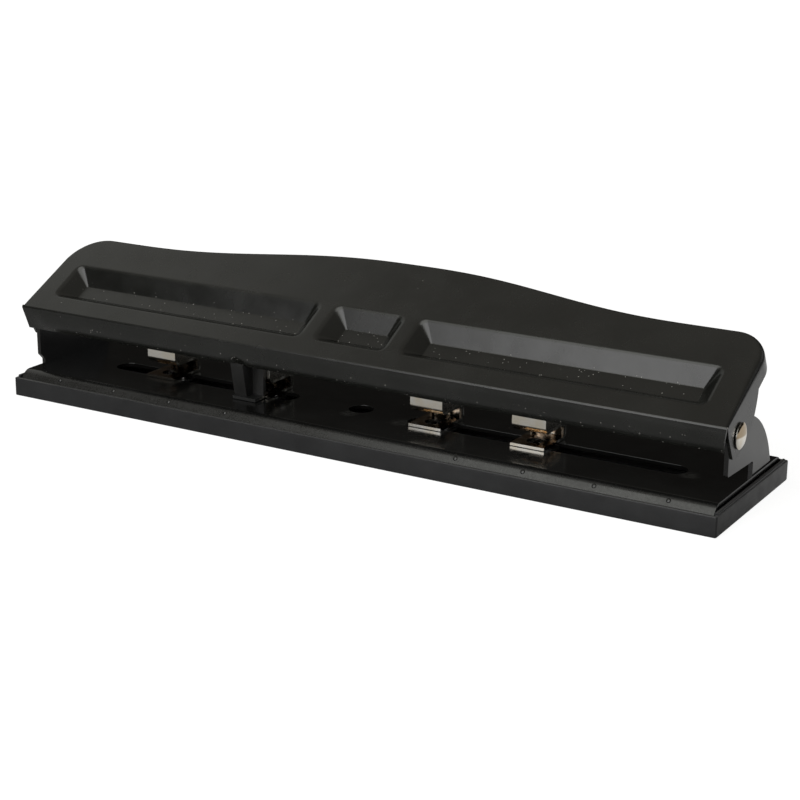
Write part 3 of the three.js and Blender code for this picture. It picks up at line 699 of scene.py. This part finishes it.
def lever_point(u, v, w):
    """A place of the lever's frame in the punch's frame."""
    cos_t, sin_t = math.cos(LEVER_TILT), math.sin(LEVER_TILT)
    return u, RIDGE_Y + v * cos_t - w * sin_t, RIDGE_Z + v * sin_t + w * cos_t


def smoother(share):
    """A share from zero to one, eased at both ends."""
    share = min(max(share, 0.0), 1.0)
    return share ** 3 * (share * (share * 6 - 15) + 10)


def rear_edge(u):
    """How far up the slope the wavy rear edge lies."""
    side = 1 if u > CROWN_X else -1
    rise = smoother(1 - abs(u - CROWN_X) / CROWN_RUN[side])
    return SHOULDER_V[side] + (CROWN_V - SHOULDER_V[side]) * rise


def bezier(points, share):
    """The place at a share of the curve that the points control."""
    points = [Vector(point) for point in points]
    while len(points) > 1:
        points = [a.lerp(b, share) for a, b in zip(points, points[1:])]
    return points[0]


def cheek_line():
    """The cheek's lower edge as v and depth, from its front to where it meets the rim."""
    line = [bezier(curve, i / BEND_STEPS) for curve in CHEEK_CURVES for i in range(BEND_STEPS)]
    return line + [Vector(CHEEK_CURVES[-1][-1])]


def side_radius(v):
    """The radius of a side's bend, which grows up the slope."""
    low, high = SIDE_RADIUS
    start, run = SIDE_GROWTH
    return min(high, low + (high - low) * max(v - start, 0) / run)


# A rim point is a place as u and v, an outward normal, the bend's radius and the wall's depth
def rim_side(side):
    cheek_v, cheek_depth = zip(*cheek_line())
    end = SHOULDER_V[side] - CORNER_RADIUS[side]
    bends = {v for v in cheek_v if PLATE_FRONT < v < end}
    stops = sorted({PLATE_FRONT, *np.arange(SIDE_START, end, 1.0), end} | bends)
    depths = [float(np.interp(v, cheek_v, cheek_depth)) for v in stops]
    row = [(side * LEVER_HALF, v, side, 0.0, side_radius(v), depth)
           for v, depth in zip(stops, depths)]
    return row[::side]


def rim_corner(side):
    radius = CORNER_RADIUS[side]
    u, v = side * (LEVER_HALF - radius), SHOULDER_V[side] - radius
    start = side_radius(v)
    row = []
    for i in range(1, CORNER_STEPS + 1):
        turn = QUARTER * i / CORNER_STEPS
        a, b = side * math.cos(turn), math.sin(turn)
        bend = start + (REAR_RADIUS - start) * smoother(i / CORNER_STEPS)
        row.append((u + radius * a, v + radius * b, a, b, bend, RIM_DEPTH))
    return row[::side]


def rim_rear():
    high, low = LEVER_HALF - CORNER_RADIUS[1], CORNER_RADIUS[-1] - LEVER_HALF
    row = []
    for i in range(1, REAR_STEPS):
        u = high + (low - high) * i / REAR_STEPS
        slope = (rear_edge(u + SLOPE_REACH) - rear_edge(u - SLOPE_REACH)) / (2 * SLOPE_REACH)
        size = math.hypot(slope, 1)
        row.append((u, rear_edge(u), -slope / size, 1 / size, REAR_RADIUS, RIM_DEPTH))
    return row


def pocket_rings(u):
    """A pocket's loops, from its rounded rim down its walls to its floor."""
    section = rounded([(-POCKET_MARGIN, 0, 0), (0, 0, POCKET_EDGE[0]),
                       (POCKET_RUN, -POCKET_DEPTH, POCKET_EDGE[1]),
                       (POCKET_RUN + POCKET_MARGIN, -POCKET_DEPTH, 0)], ROUND_STEPS)[1:-1]
    high, low = POCKET_CORNER
    rings = []
    for inset, height in section:
        share = min(max(inset / POCKET_RUN, 0), 1)
        radius = high + (low - high) * share - min(inset, 0)
        v = (POCKET_V[0] + inset, POCKET_V[1] - inset)
        loop = rounded_box((u[0] + inset, u[1] - inset), v, radius)
        rings.append([(point[0], point[1], height) for point in loop])
    return rings


def wall_columns(rim):
    """Points down the lever's side and rear walls: round the bend, then straight down."""
    columns = []
    for u, v, a, b, radius, depth in rim:
        column = []
        for i in range(BEND_STEPS + 1):
            turn = QUARTER * i / BEND_STEPS
            out = radius * (1 - math.sin(turn))
            column.append((u - a * out, v - b * out, -radius * (1 - math.cos(turn))))
        reach = PLATE_FRONT - CHEEK_INSET if v == PLATE_FRONT and b == 0 else 0
        for i in range(1, WALL_STEPS + 1):
            down = (depth - radius) * i / WALL_STEPS
            column.append((u, v - reach * min(1, down / CHEEK_LEAD), -(radius + down)))
        columns.append(column)
    return columns


def flange_sheet(ends):
    """Points and faces of the ridge's bend and the flange, with columns at the plate's ends."""
    ridge = rounded([(PLATE_FRONT + RIDGE_LAP, 0, 0), (0, 0, RIDGE_RADIUS),
                     (-FLANGE_FLARE, -FLANGE_DEPTH, 0)], BEND_STEPS)[1:]
    across = Vector((-FLANGE_DEPTH, FLANGE_FLARE)).normalized()
    start, end = ridge[-2:]
    section = [(point, 0.0) for point in ridge[:-1]]
    for i in range(1, FLANGE_STEPS + 1):
        share = i / FLANGE_STEPS
        section.append((start.lerp(end, share), 4 * FLANGE_BULGE * share * (1 - share)))
    stops = sorted({*np.linspace(-LEVER_HALF, LEVER_HALF, FLANGE_STOPS), *ends})
    sheet = []
    for place, bulge in section:
        for u in stops:
            v, w = place + across * bulge * smoother((u + LEVER_HALF) / FLAT_END)
            taper = 1 + FLANGE_TAPER * w / FLANGE_DEPTH / LEVER_HALF
            beside = smoother(1 - abs(u - DENT_AT) / DENT_REACH)
            fade = smoother(min(-w / FLANGE_DEPTH, 1) * (1 + DENT_FADE) - DENT_FADE)
            sheet.append(lever_point(u * taper, v + DENT_DEPTH * beside * fade, w))
    return sheet, grid_faces(len(section), len(stops))


def make_lever():
    rim = rim_side(1) + rim_corner(1) + rim_rear() + rim_corner(-1) + rim_side(-1)
    points, faces = [], []

    def add(new_points, new_faces):
        first = len(points)
        points.extend(new_points)
        faces.extend(tuple(i + first for i in face) for face in new_faces)

    pockets = []
    for u in POCKETS_U:
        rings = pocket_rings(u)
        pockets.append([point[:2] for point in rings[0]])
        count = len(rings[0])
        ring_faces = grid_faces(len(rings), count, closed=True) + [end_face(len(rings) - 1, count)]
        add([lever_point(*point) for ring in rings for point in ring], ring_faces)
    inner = [(u - a * radius, v - b * radius) for u, v, a, b, radius, _ in rim]
    flat, flat_faces = pattern(inner, pockets)
    add([lever_point(point[0], point[1], 0) for point in flat], flat_faces)
    walls = wall_columns(rim)
    wall_faces = grid_faces(len(walls), len(walls[0]))
    add([lever_point(*point) for column in walls for point in column], wall_faces)
    add(*flange_sheet((inner[0][0], inner[-1][0])))
    lever = mesh_object("lever_shell", points, faces, "lever_enamel", "lever")
    thicken(lever, LEVER_GAUGE, -1, LEVER_EDGE)
    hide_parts("lever")


# Base frame: plate, slots and ears
PLATE_TOP = 10.0
PLATE_GAUGE = 1.5
PLATE_LOW = PLATE_TOP - PLATE_GAUGE
PLATE_EDGE = 0.15
PLATE_BEVEL = (3.0, 3.2)
BEVEL_ROUND = (1.8, 4.4)
SLOT_WIDTH = 9.4
SLOT_Y = -3.8
SLOTS_X = ((-120, -33), (17, 127))
SLOT_FLAT = 0.01
SLOT_STEPS = 12
CENTRE_HOLE = (-5.0, -2.5, 4.7)
CHEEK_GAP = 0.55
EAR_GAUGE = 1.6
EAR_EDGE = 0.3
EAR_ARC = (-10.0, 2.0, 32.2)
EAR_CORNER = 4.4
EAR_FRONT = {-1: -21.6, 1: -19.3}
EAR_FOOT_STEPS = 4
EAR_ARC_STEPS = 40

# An ear's foot, as its Y and two corners of height and radius
EAR_FOOT = {-1: (-19.2, (12.4, 0.5), (14.8, 0.8)), 1: (4.0, (15.2, 0.9), (16.2, 0.8))}
EAR_RISE = 5

# Index marks on the front bevel: a low bump's radius and height, its Y and Z, and its lean
MARK = (0.85, 0.38)
MARK_AT = (-29.9, 8.55)
MARK_LEAN = math.radians(47)
MARK_STEPS = 6
MARK_SIDES = 20
MARKS_X = (-129.0, -102.0, -75.0, -48.5, 51.0, 77.5, 104.5, 131.5)


def ear_loop(side):
    """The ear's outline as Y and Z, from its foot round its front and over its arc."""
    y, z, radius = EAR_ARC
    front = EAR_FRONT[side]
    foot, (low, low_radius), (high, high_radius) = EAR_FOOT[side]
    loop = rounded([(foot, PLATE_LOW, 0), (foot, low, low_radius), (front, high, high_radius),
                    (front, high + EAR_RISE, 0)], EAR_FOOT_STEPS)
    top = z + math.sqrt(radius ** 2 - (front + EAR_CORNER - y) ** 2)
    bend = [(front, top - EAR_CORNER), (front, top), (front + EAR_CORNER, top)]
    loop = loop[:-1] + [bezier(bend, i / BEND_STEPS) for i in range(BEND_STEPS + 1)]
    start = math.acos((front + EAR_CORNER - y) / radius)
    end = math.asin((PLATE_LOW - z) / radius)
    for i in range(1, EAR_ARC_STEPS + 1):
        turn = start + (end - start) * i / EAR_ARC_STEPS
        loop.append(Vector((y + radius * math.cos(turn), z + radius * math.sin(turn))))
    return loop


def make_base():
    low, high = span("base_frame")
    half = high[1]
    run, drop = PLATE_BEVEL
    front = rounded([(-half, low[2], 0), (-half, PLATE_TOP - drop, BEVEL_ROUND[0]),
                     (-half + run, PLATE_TOP, BEVEL_ROUND[1]), (0, PLATE_TOP, 0)], BEND_STEPS)[1:-1]
    line = [Vector((-half, low[2]))] + front
    line += [Vector((-point[0], point[1])) for point in reversed(line)]
    profile = Profile(line)
    flat_start = profile.marks[len(front)]
    to_length = lambda y: flat_start + y - front[-1][0]
    holes = []
    for x in SLOTS_X:
        y = (to_length(SLOT_Y - SLOT_WIDTH / 2), to_length(SLOT_Y + SLOT_WIDTH / 2))
        holes.append(rounded_box(x, y, SLOT_WIDTH / 2 - SLOT_FLAT, SLOT_STEPS))
    holes.append(circle(CENTRE_HOLE[0], to_length(CENTRE_HOLE[1]), CENTRE_HOLE[2]))
    plate = bent_strip("base_plate", profile, (low[0], high[0]), holes, "frame_enamel", "root",
                       PLATE_GAUGE, -1, PLATE_EDGE)
    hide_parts("base_frame")
    for place, side in SIDES.items():
        outer = side * (LEVER_HALF - LEVER_GAUGE - CHEEK_GAP)
        across = min(outer, outer - side * EAR_GAUGE)
        slab(f"ear_{place}", ear_loop(side), across, EAR_GAUGE, 0, "frame_enamel", "root",
             EAR_EDGE)
    turns = [QUARTER * i / MARK_STEPS for i in range(MARK_STEPS + 1)]
    dome = [(MARK[0] * math.cos(turn), MARK[1] * math.sin(turn)) for turn in turns]
    turn = Matrix.Rotation(MARK_LEAN, 3, "X")
    for i, x in enumerate(MARKS_X):
        lathe(f"index_mark_{i + 1}", dome, (x, *MARK_AT), turn, "frame_enamel", "root", MARK_SIDES)


# Chip tray, with its wall's section as how far in each point lies and its height
TRAY_CORNER = 0.8
TRAY_CORNER_LEAST = 0.3
TRAY_TOP = 7.4
TRAY_STEP = 2.5
TRAY_SECTION = (
    (0.45, 0.0), (0.15, 0.12), (0.0, 0.5), (0.0, 2.5), (0.0, 5.0), (0.0, 7.0), (0.12, 7.28),
    (0.4, TRAY_TOP), (1.2, TRAY_TOP), (1.48, 7.28), (1.6, 7.0), (1.6, 1.9), (1.8, 1.65), (2.2, 1.6),
)

# Waver of the long walls, as waves of height, length and start, and the band that it moves
WAVES = ((0.12, 19.0, 0.6), (0.07, 7.3, 2.0))
WAVE_BAND = 3

# The bead along each end's lip
LIP = (0.45, 1.75)
LIP_LOW = 6.6
LIP_END = 2.0
LIP_ROUND = 0.6
LIP_EDGE = 0.15


def tray_loop(half, inset, height):
    """A level loop round the tray, with points close enough for its walls to waver."""
    radius = max(TRAY_CORNER - inset, TRAY_CORNER_LEAST)
    corners = rounded_box((-half[0] + inset, half[0] - inset), (-half[1] + inset, half[1] - inset),
                          radius, ROUND_STEPS)
    count = ROUND_STEPS + 1
    loop = []
    for i, (first, second) in enumerate(zip(corners, corners[1:] + corners[:1])):
        along = half[0] if i % (2 * count) == ROUND_STEPS else half[1]
        steps = round(along / TRAY_STEP) if i % count == ROUND_STEPS else 1
        loop.extend(first.lerp(second, j / steps) for j in range(steps))
    return [(point[0], point[1], height) for point in loop]


def make_tray():
    low, high = span("chip_tray")
    half = (high[0], high[1])
    rings = [tray_loop(half, inset, height) for inset, height in TRAY_SECTION]
    points = []
    for x, y, z in (point for ring in rings for point in ring):
        if abs(y) > half[1] - WAVE_BAND:
            sway = sum(height * math.sin(x / length + start) for height, length, start in WAVES)
            y += abs(sway) * min(max(z / TRAY_TOP, 0), 1)
        points.append((x, y, z))
    count = len(rings[0])
    faces = grid_faces(len(rings), count, closed=True)
    faces += [end_face(0, count), end_face(len(rings) - 1, count)]
    tray = mesh_object("tray_shell", points, faces, "tray_plastic", "root")
    soften(tray, 0)
    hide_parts("chip_tray")
    for place, side in SIDES.items():
        x = sorted(side * (half[0] - inset) for inset in LIP)
        bead = rounded([(x[0], LIP_LOW, 0), (x[1], LIP_LOW, 0), (x[1], high[2], LIP_ROUND),
                        (x[0], high[2], LIP_ROUND)], ROUND_STEPS, closed=True)
        slab(f"tray_lip_{place}", bead, LIP_END - half[1], 2 * (half[1] - LIP_END), 1,
             "tray_plastic", "root", LIP_EDGE)


# Punch heads: places as Y from the pin's axis and heights over the plate
HEAD_GAUGE = 1.0
HEAD_EDGE = 0.26
HEAD_LIP = (-3.6, 5.6)
HEAD_FACE_Y = -5.2
HEAD_WALL = 6.5
ROOF_END = 1.6

# Radii of the bracket's bends: rear foot, rear top, front top, front foot and lip
HEAD_BENDS = (1.3, 1.5, 2.0, 1.6, 1.0)

# Developed lengths between which the pin's holes are looked for
DIE_REACH = 14
REAR_REACH = (18, 36)
TOP_REACH = 46
ROOF_REACH = 13

# Closed sides of the heads, with the radii of the lip, throat's end, rear top and front top
SIDE_GAUGE = 0.8
SIDE_EDGE = 0.12
SIDE_INSET = 0.05
SIDE_FRONT = 0.1
SIDE_TOP = 0.2
SIDE_BENDS = (0.6, 1.0, 0.8, 2.0)
THROAT_LAP = 1.1

# Pins, with the hollow of the notched cutting end, and their caps
PIN_RADIUS = 2.75
PIN_BORE = PIN_RADIUS + 0.3
PIN_GROOVE = 0.55
PIN_CLIP_GAP = 0.15
PIN_EDGE = 0.06
PIN_SIDES = 40
PIN_RINGS = 7
PIN_NOTCH = 3.4
PIN_NOTCH_DEPTH = 0.9
CAP_DOME = 6.0
CAP_FLOOR = 0.4
CAP_CHAMFER = 0.15
CAP_RIM = 0.1
CAP_STEPS = 12

SPRING_WIRE = 0.7
SPRING_TURNS = 6
SPRING_STEPS = 28
SPRING_SIDES = 10
SPRING_CLOSED = 1.05

# Hinge rivets: tail, shank and domed head
RIVET_SEAT = 0.25
RIVET_SIDES = 64
RIVET_TAIL = 3.3
RIVET_TAIL_FLAT = 0.8
RIVET_TAIL_RISE = (0.4, 0.9)
RIVET_SHANK = 2.0
RIVET_HEAD_EDGE = ((0.2, 0), (0, 0.15), (0, 0.4))
RIVET_DOME = (0.12, 0.62)
RIVET_DOME_STEPS = 10
WASHER_GAP = 0.25
WASHER_EDGE = 0.12


def make_head(number):
    """A folded bracket with its closed sides, and the pin and the spring on it."""
    body = f"head_{number}"
    name = f"head_bracket_{number}"
    low, high = span(name)
    x = (low[0], high[0])
    middle_x = (x[0] + x[1]) / 2
    pin_low, pin_high = span(f"punch_pin_{number}")
    y = (pin_low[1] + pin_high[1]) / 2
    face, lip, roof = y + HEAD_FACE_Y, y + HEAD_LIP[0], PLATE_TOP + HEAD_LIP[1]
    rear_foot, rear_top, front_top, front_foot, lip_bend = HEAD_BENDS
    corners = [(low[1], low[2], 0), (high[1], low[2], rear_foot), (high[1], high[2], rear_top),
               (face, high[2], front_top), (face, high[2] - HEAD_WALL, front_foot),
               (lip, roof, lip_bend), (high[1] - ROOF_END, roof, 0)]
    profile = Profile(rounded(corners))
    rear = profile.find(high[2], *REAR_REACH, axis=1)
    lengths = (profile.find(y, 0, DIE_REACH), profile.find(y, rear, TOP_REACH),
               profile.find(y, profile.length - ROOF_REACH, profile.length))
    holes = [circle(middle_x, length, PIN_BORE) for length in lengths]
    bracket = bent_strip(f"bracket_{number}", profile, x, holes, "head_nickel", body, HEAD_GAUGE, 1,
                         HEAD_EDGE)
    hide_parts(name)
    rear = high[1] - HEAD_GAUGE
    throat = rear - THROAT_LAP
    foot, top = low[2] + HEAD_GAUGE, high[2] - SIDE_TOP
    front = face + SIDE_FRONT
    lip_bend, throat_bend, rear_top, front_top = SIDE_BENDS
    side_loop = rounded([(front, high[2] - HEAD_WALL, 0), (lip, roof, lip_bend),
                         (throat, roof, throat_bend), (throat, foot, 0), (rear, foot, 0),
                         (rear, top, rear_top), (front, top, front_top)], ROUND_STEPS, closed=True)
    # The closed sides are painted in shade, with a dark copy of the nickel.
    for place, across in (("left", x[0] + SIDE_INSET), ("right", x[1] - SIDE_INSET - SIDE_GAUGE)):
        slab(f"bracket_side_{number}_{place}", side_loop, across, SIDE_GAUGE, 0, "side_nickel",
             body, SIDE_EDGE)
    make_pin(number, (middle_x, y))
    make_cap(number, (middle_x, y))
    make_spring(number, (middle_x, y))


def make_pin(number, place):
    """The pin, with its clip's groove and its notched cutting end."""
    low, high = span(f"punch_pin_{number}")
    clip_low, clip_high = span(f"pin_ring_{number}")
    groove = (clip_low[2] - PIN_CLIP_GAP, clip_high[2] + PIN_CLIP_GAP)
    neck = PIN_RADIUS - PIN_GROOVE
    rings = [(radius, None) for radius in np.linspace(0, PIN_RADIUS, PIN_RINGS)]
    rings += [(PIN_RADIUS, groove[0]), (neck, groove[0]), (neck, groove[1]),
              (PIN_RADIUS, groove[1]), (PIN_RADIUS, high[2]), (0, high[2])]
    points = []
    for radius, height in rings:
        for i in range(PIN_SIDES):
            turn = 2 * math.pi * i / PIN_SIDES
            across = radius * math.sin(turn)
            hollow = math.sqrt(PIN_NOTCH ** 2 - across ** 2) - PIN_NOTCH + PIN_NOTCH_DEPTH
            z = low[2] + max(hollow, 0) if height is None else height
            points.append((place[0] + radius * math.cos(turn), place[1] + across, z))
    faces = grid_faces(len(rings), PIN_SIDES, closed=True)
    pin = mesh_object(f"pin_{number}_rod", points, faces, "spring_steel", f"pin_{number}")
    soften(pin, PIN_EDGE)
    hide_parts(f"punch_pin_{number}")


def make_cap(number, place):
    """The domed cap that the lever presses."""
    name = f"pin_cap_{number}"
    low, high = span(name)
    radius = (high[0] - low[0]) / 2
    edge = high[2] - CAP_DOME + math.sqrt(CAP_DOME ** 2 - radius ** 2)
    profile = [(0, edge - CAP_FLOOR), (PIN_BORE, edge - CAP_FLOOR), (PIN_BORE, low[2]),
               (radius - CAP_CHAMFER, low[2]), (radius, low[2] + CAP_CHAMFER),
               (radius, edge - CAP_RIM)]
    for i in range(CAP_STEPS):
        turn = math.asin(radius / CAP_DOME) * (1 - i / CAP_STEPS)
        profile.append((CAP_DOME * math.sin(turn), high[2] - CAP_DOME * (1 - math.cos(turn))))
    profile.append((0, high[2]))
    cap = lathe(f"cap_{number}", profile, (*place, 0), UPRIGHT, "nickel", f"pin_{number}")
    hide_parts(name)


def make_spring(number, place):
    """A round wire coil with a closed turn at each end, between the head and the cap."""
    name = f"return_spring_{number}"
    low, high = span(name)
    radius = (high[1] - low[1] - SPRING_WIRE) / 2
    start, end = low[2] + SPRING_WIRE / 2, high[2] - SPRING_WIRE / 2
    closed = SPRING_WIRE * SPRING_CLOSED
    turns = (0, 1, SPRING_TURNS - 1, SPRING_TURNS)
    heights = (start, start + closed, end - closed, end)
    count = SPRING_TURNS * SPRING_STEPS
    line = []
    for i in range(count + 1):
        turn = i / count * SPRING_TURNS
        angle = 2 * math.pi * turn
        x, y = place[0] + radius * math.cos(angle), place[1] + radius * math.sin(angle)
        line.append(Vector((x, y, np.interp(turn, turns, heights))))
    coil = tube(f"spring_{number}", line, SPRING_WIRE / 2, SPRING_SIDES, "spring_steel",
                f"head_{number}")
    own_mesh(coil)
    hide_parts(name)


def make_hinge(side, place):
    """The domed rivet through the cheek and the ear, and the washer under its tail."""
    name = f"hinge_rivet_{place}"
    low, high = span(name)
    y, z = (low[1] + high[1]) / 2, (low[2] + high[2]) / 2
    seat = side * (LEVER_HALF + RIVET_SEAT)
    tail = low[0] - seat if side > 0 else seat - high[0]
    head = (high[1] - low[1]) / 2
    height = (high[0] if side > 0 else -low[0]) - abs(seat)
    rise, shoulder = (tail + step for step in RIVET_TAIL_RISE)
    profile = [(0, tail), (RIVET_TAIL * RIVET_TAIL_FLAT, tail), (RIVET_TAIL, rise),
               (RIVET_TAIL, shoulder), (RIVET_SHANK, shoulder), (RIVET_SHANK, 0)]
    profile += [(head - inset, level) for inset, level in RIVET_HEAD_EDGE]
    inset, level = RIVET_DOME
    for i in range(1, RIVET_DOME_STEPS + 1):
        share = i / RIVET_DOME_STEPS
        dome = level + (height - level) * (1 - (1 - share) ** 2)
        profile.append(((head - inset) * (1 - share), dome))
    rivet = lathe(f"rivet_{place}", profile, (seat, y, z), SIDEWAYS[side], "rivet_nickel", "lever",
                  RIVET_SIDES)
    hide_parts(name)
    name = f"hinge_washer_{place}"
    low, high = span(name)
    outer = (high[1] - low[1]) / 2
    bore = RIVET_SHANK + WASHER_GAP
    gauge = high[0] - low[0]
    profile = [(bore, 0), (outer, 0), (outer, gauge), (bore, gauge), (bore, 0)]
    at = (low[0] if side > 0 else high[0], y, z)
    washer = lathe(f"washer_{place}", profile, at, SIDEWAYS[side], "washer_nylon", "lever",
                   width=WASHER_EDGE)
    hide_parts(name)


for head_number in range(1, 5):
    make_head(head_number)
for hinge_place, hinge_side in SIDES.items():
    make_hinge(hinge_side, hinge_place)
make_lever()
make_base()
make_tray()


# Studio, with its lengths in metres
WORLD_RISE = (0.4, 0.95)
WORLD_GLOW = (0.02, 0.36)
WORLD_TINT = (1.0, 0.95, 0.86)
WHITE = (1, 1, 1)
MIX_VALUES = (2, 3)

FLOOR_SIZE = 12
FLOOR_DROP = 0.0001
FLOOR_COLOUR = (0.9, 0.9, 0.9, 1)
FLOOR_ROUGHNESS = 0.9
FLOOR_GLOW = 0.72
FLOOR_WHITE = 1.2
SHADOW_REACH = (0.3, 0.7)
MIRRORED_REACH = (-0.02, 0.06)
FLOOR_MIRRORED = (0.19, 0.68)

# Lamps: a direction and a distance from the punch, a width and height, a radiance and a colour
LAMPS = {
    "front_box": ((0.03, -0.90, 0.40), 1.5, (1.72, 1.1), 3.4, WHITE),
    "top_box": ((-0.03, -0.50, 0.86), 1.5, (1.5, 0.8), 2.4, (0.98, 1, 0.95)),
    "left_box": ((-0.80, 0.22, 0.58), 1.6, (1.1, 1.1), 0.42, (0.98, 1, 0.95)),
    "side_box": ((0.62, 0.70, 0.42), 1.6, (0.9, 0.5), 0.4, (0.95, 0.98, 1)),
}


def make_world():
    """White behind the punch, and a studio that is dark near the horizon and dim overhead."""
    world = bpy.data.worlds.new("studio")
    bpy.context.scene.world = world
    paint = Paint("studio", world)
    seen = paint.node("ShaderNodeLightPath").outputs["Is Camera Ray"]
    parts = paint.node("ShaderNodeSeparateXYZ", {0: paint.places["Generated"]})
    dim = paint.ramp(parts.outputs["Z"], *WORLD_RISE, *WORLD_GLOW)
    strength = paint.node("ShaderNodeMix", dict(zip(("Factor", *MIX_VALUES), (seen, dim, 1.0))))
    paint.set(Color=paint.blend(seen, WORLD_TINT, WHITE), Strength=strength.outputs[0])


def make_floor():
    """A white floor that keeps a soft shadow and fades into the white behind it."""
    bpy.ops.mesh.primitive_plane_add(size=FLOOR_SIZE, location=(0, 0, -FLOOR_DROP))
    floor = bpy.context.object
    floor.name = "floor"
    paint = Paint("floor")
    paint.set(Base_Color=FLOOR_COLOUR, Roughness=FLOOR_ROUGHNESS, Specular_IOR_Level=0.0)
    ray = paint.node("ShaderNodeLightPath").outputs
    seen = paint.node("ShaderNodeMath", {0: ray["Is Camera Ray"], 1: ray["Is Glossy Ray"]},
                      operation="ADD", use_clamp=True)
    away = paint.node("ShaderNodeVectorMath", {0: paint.place}, operation="LENGTH")
    level = paint.ramp(away.outputs["Value"], *SHADOW_REACH, FLOOR_GLOW, 1.0)
    share = paint.math("MULTIPLY", seen.outputs[0], level)
    parts = paint.node("ShaderNodeSeparateXYZ", {0: paint.place})
    mirrored = paint.ramp(parts.outputs["Y"], *MIRRORED_REACH, *FLOOR_MIRRORED)
    strength = paint.ramp(ray["Is Camera Ray"], 0.0, 1.0, mirrored, FLOOR_WHITE)
    glow = paint.node("ShaderNodeEmission", {"Strength": strength})
    lit = {0: share, 1: paint.shader.outputs[0], 2: glow.outputs[0]}
    mix = paint.node("ShaderNodeMixShader", lit)
    paint.put(mix.outputs[0], paint.tree.nodes["Material Output"].inputs["Surface"])
    floor.data.materials.append(paint.material)


def soft_box(name, direction, distance, size, radiance, colour):
    """A rectangular lamp at a distance from the punch, facing it."""
    data = bpy.data.lights.new(name, "AREA")
    data.shape = "RECTANGLE"
    data.size, data.size_y = size
    data.energy = radiance * math.pi * size[0] * size[1]
    data.color = colour
    lamp = bpy.data.objects.new(name, data)
    lamp.location = Vector(direction).normalized() * distance
    lamp.rotation_euler = Vector(direction).to_track_quat("Z", "Y").to_euler()
    bpy.context.scene.collection.objects.link(lamp)


make_world()
make_floor()
for lamp_name, lamp_values in LAMPS.items():
    soft_box(lamp_name, *lamp_values)
bpy.context.scene.view_settings.view_transform = "Standard"
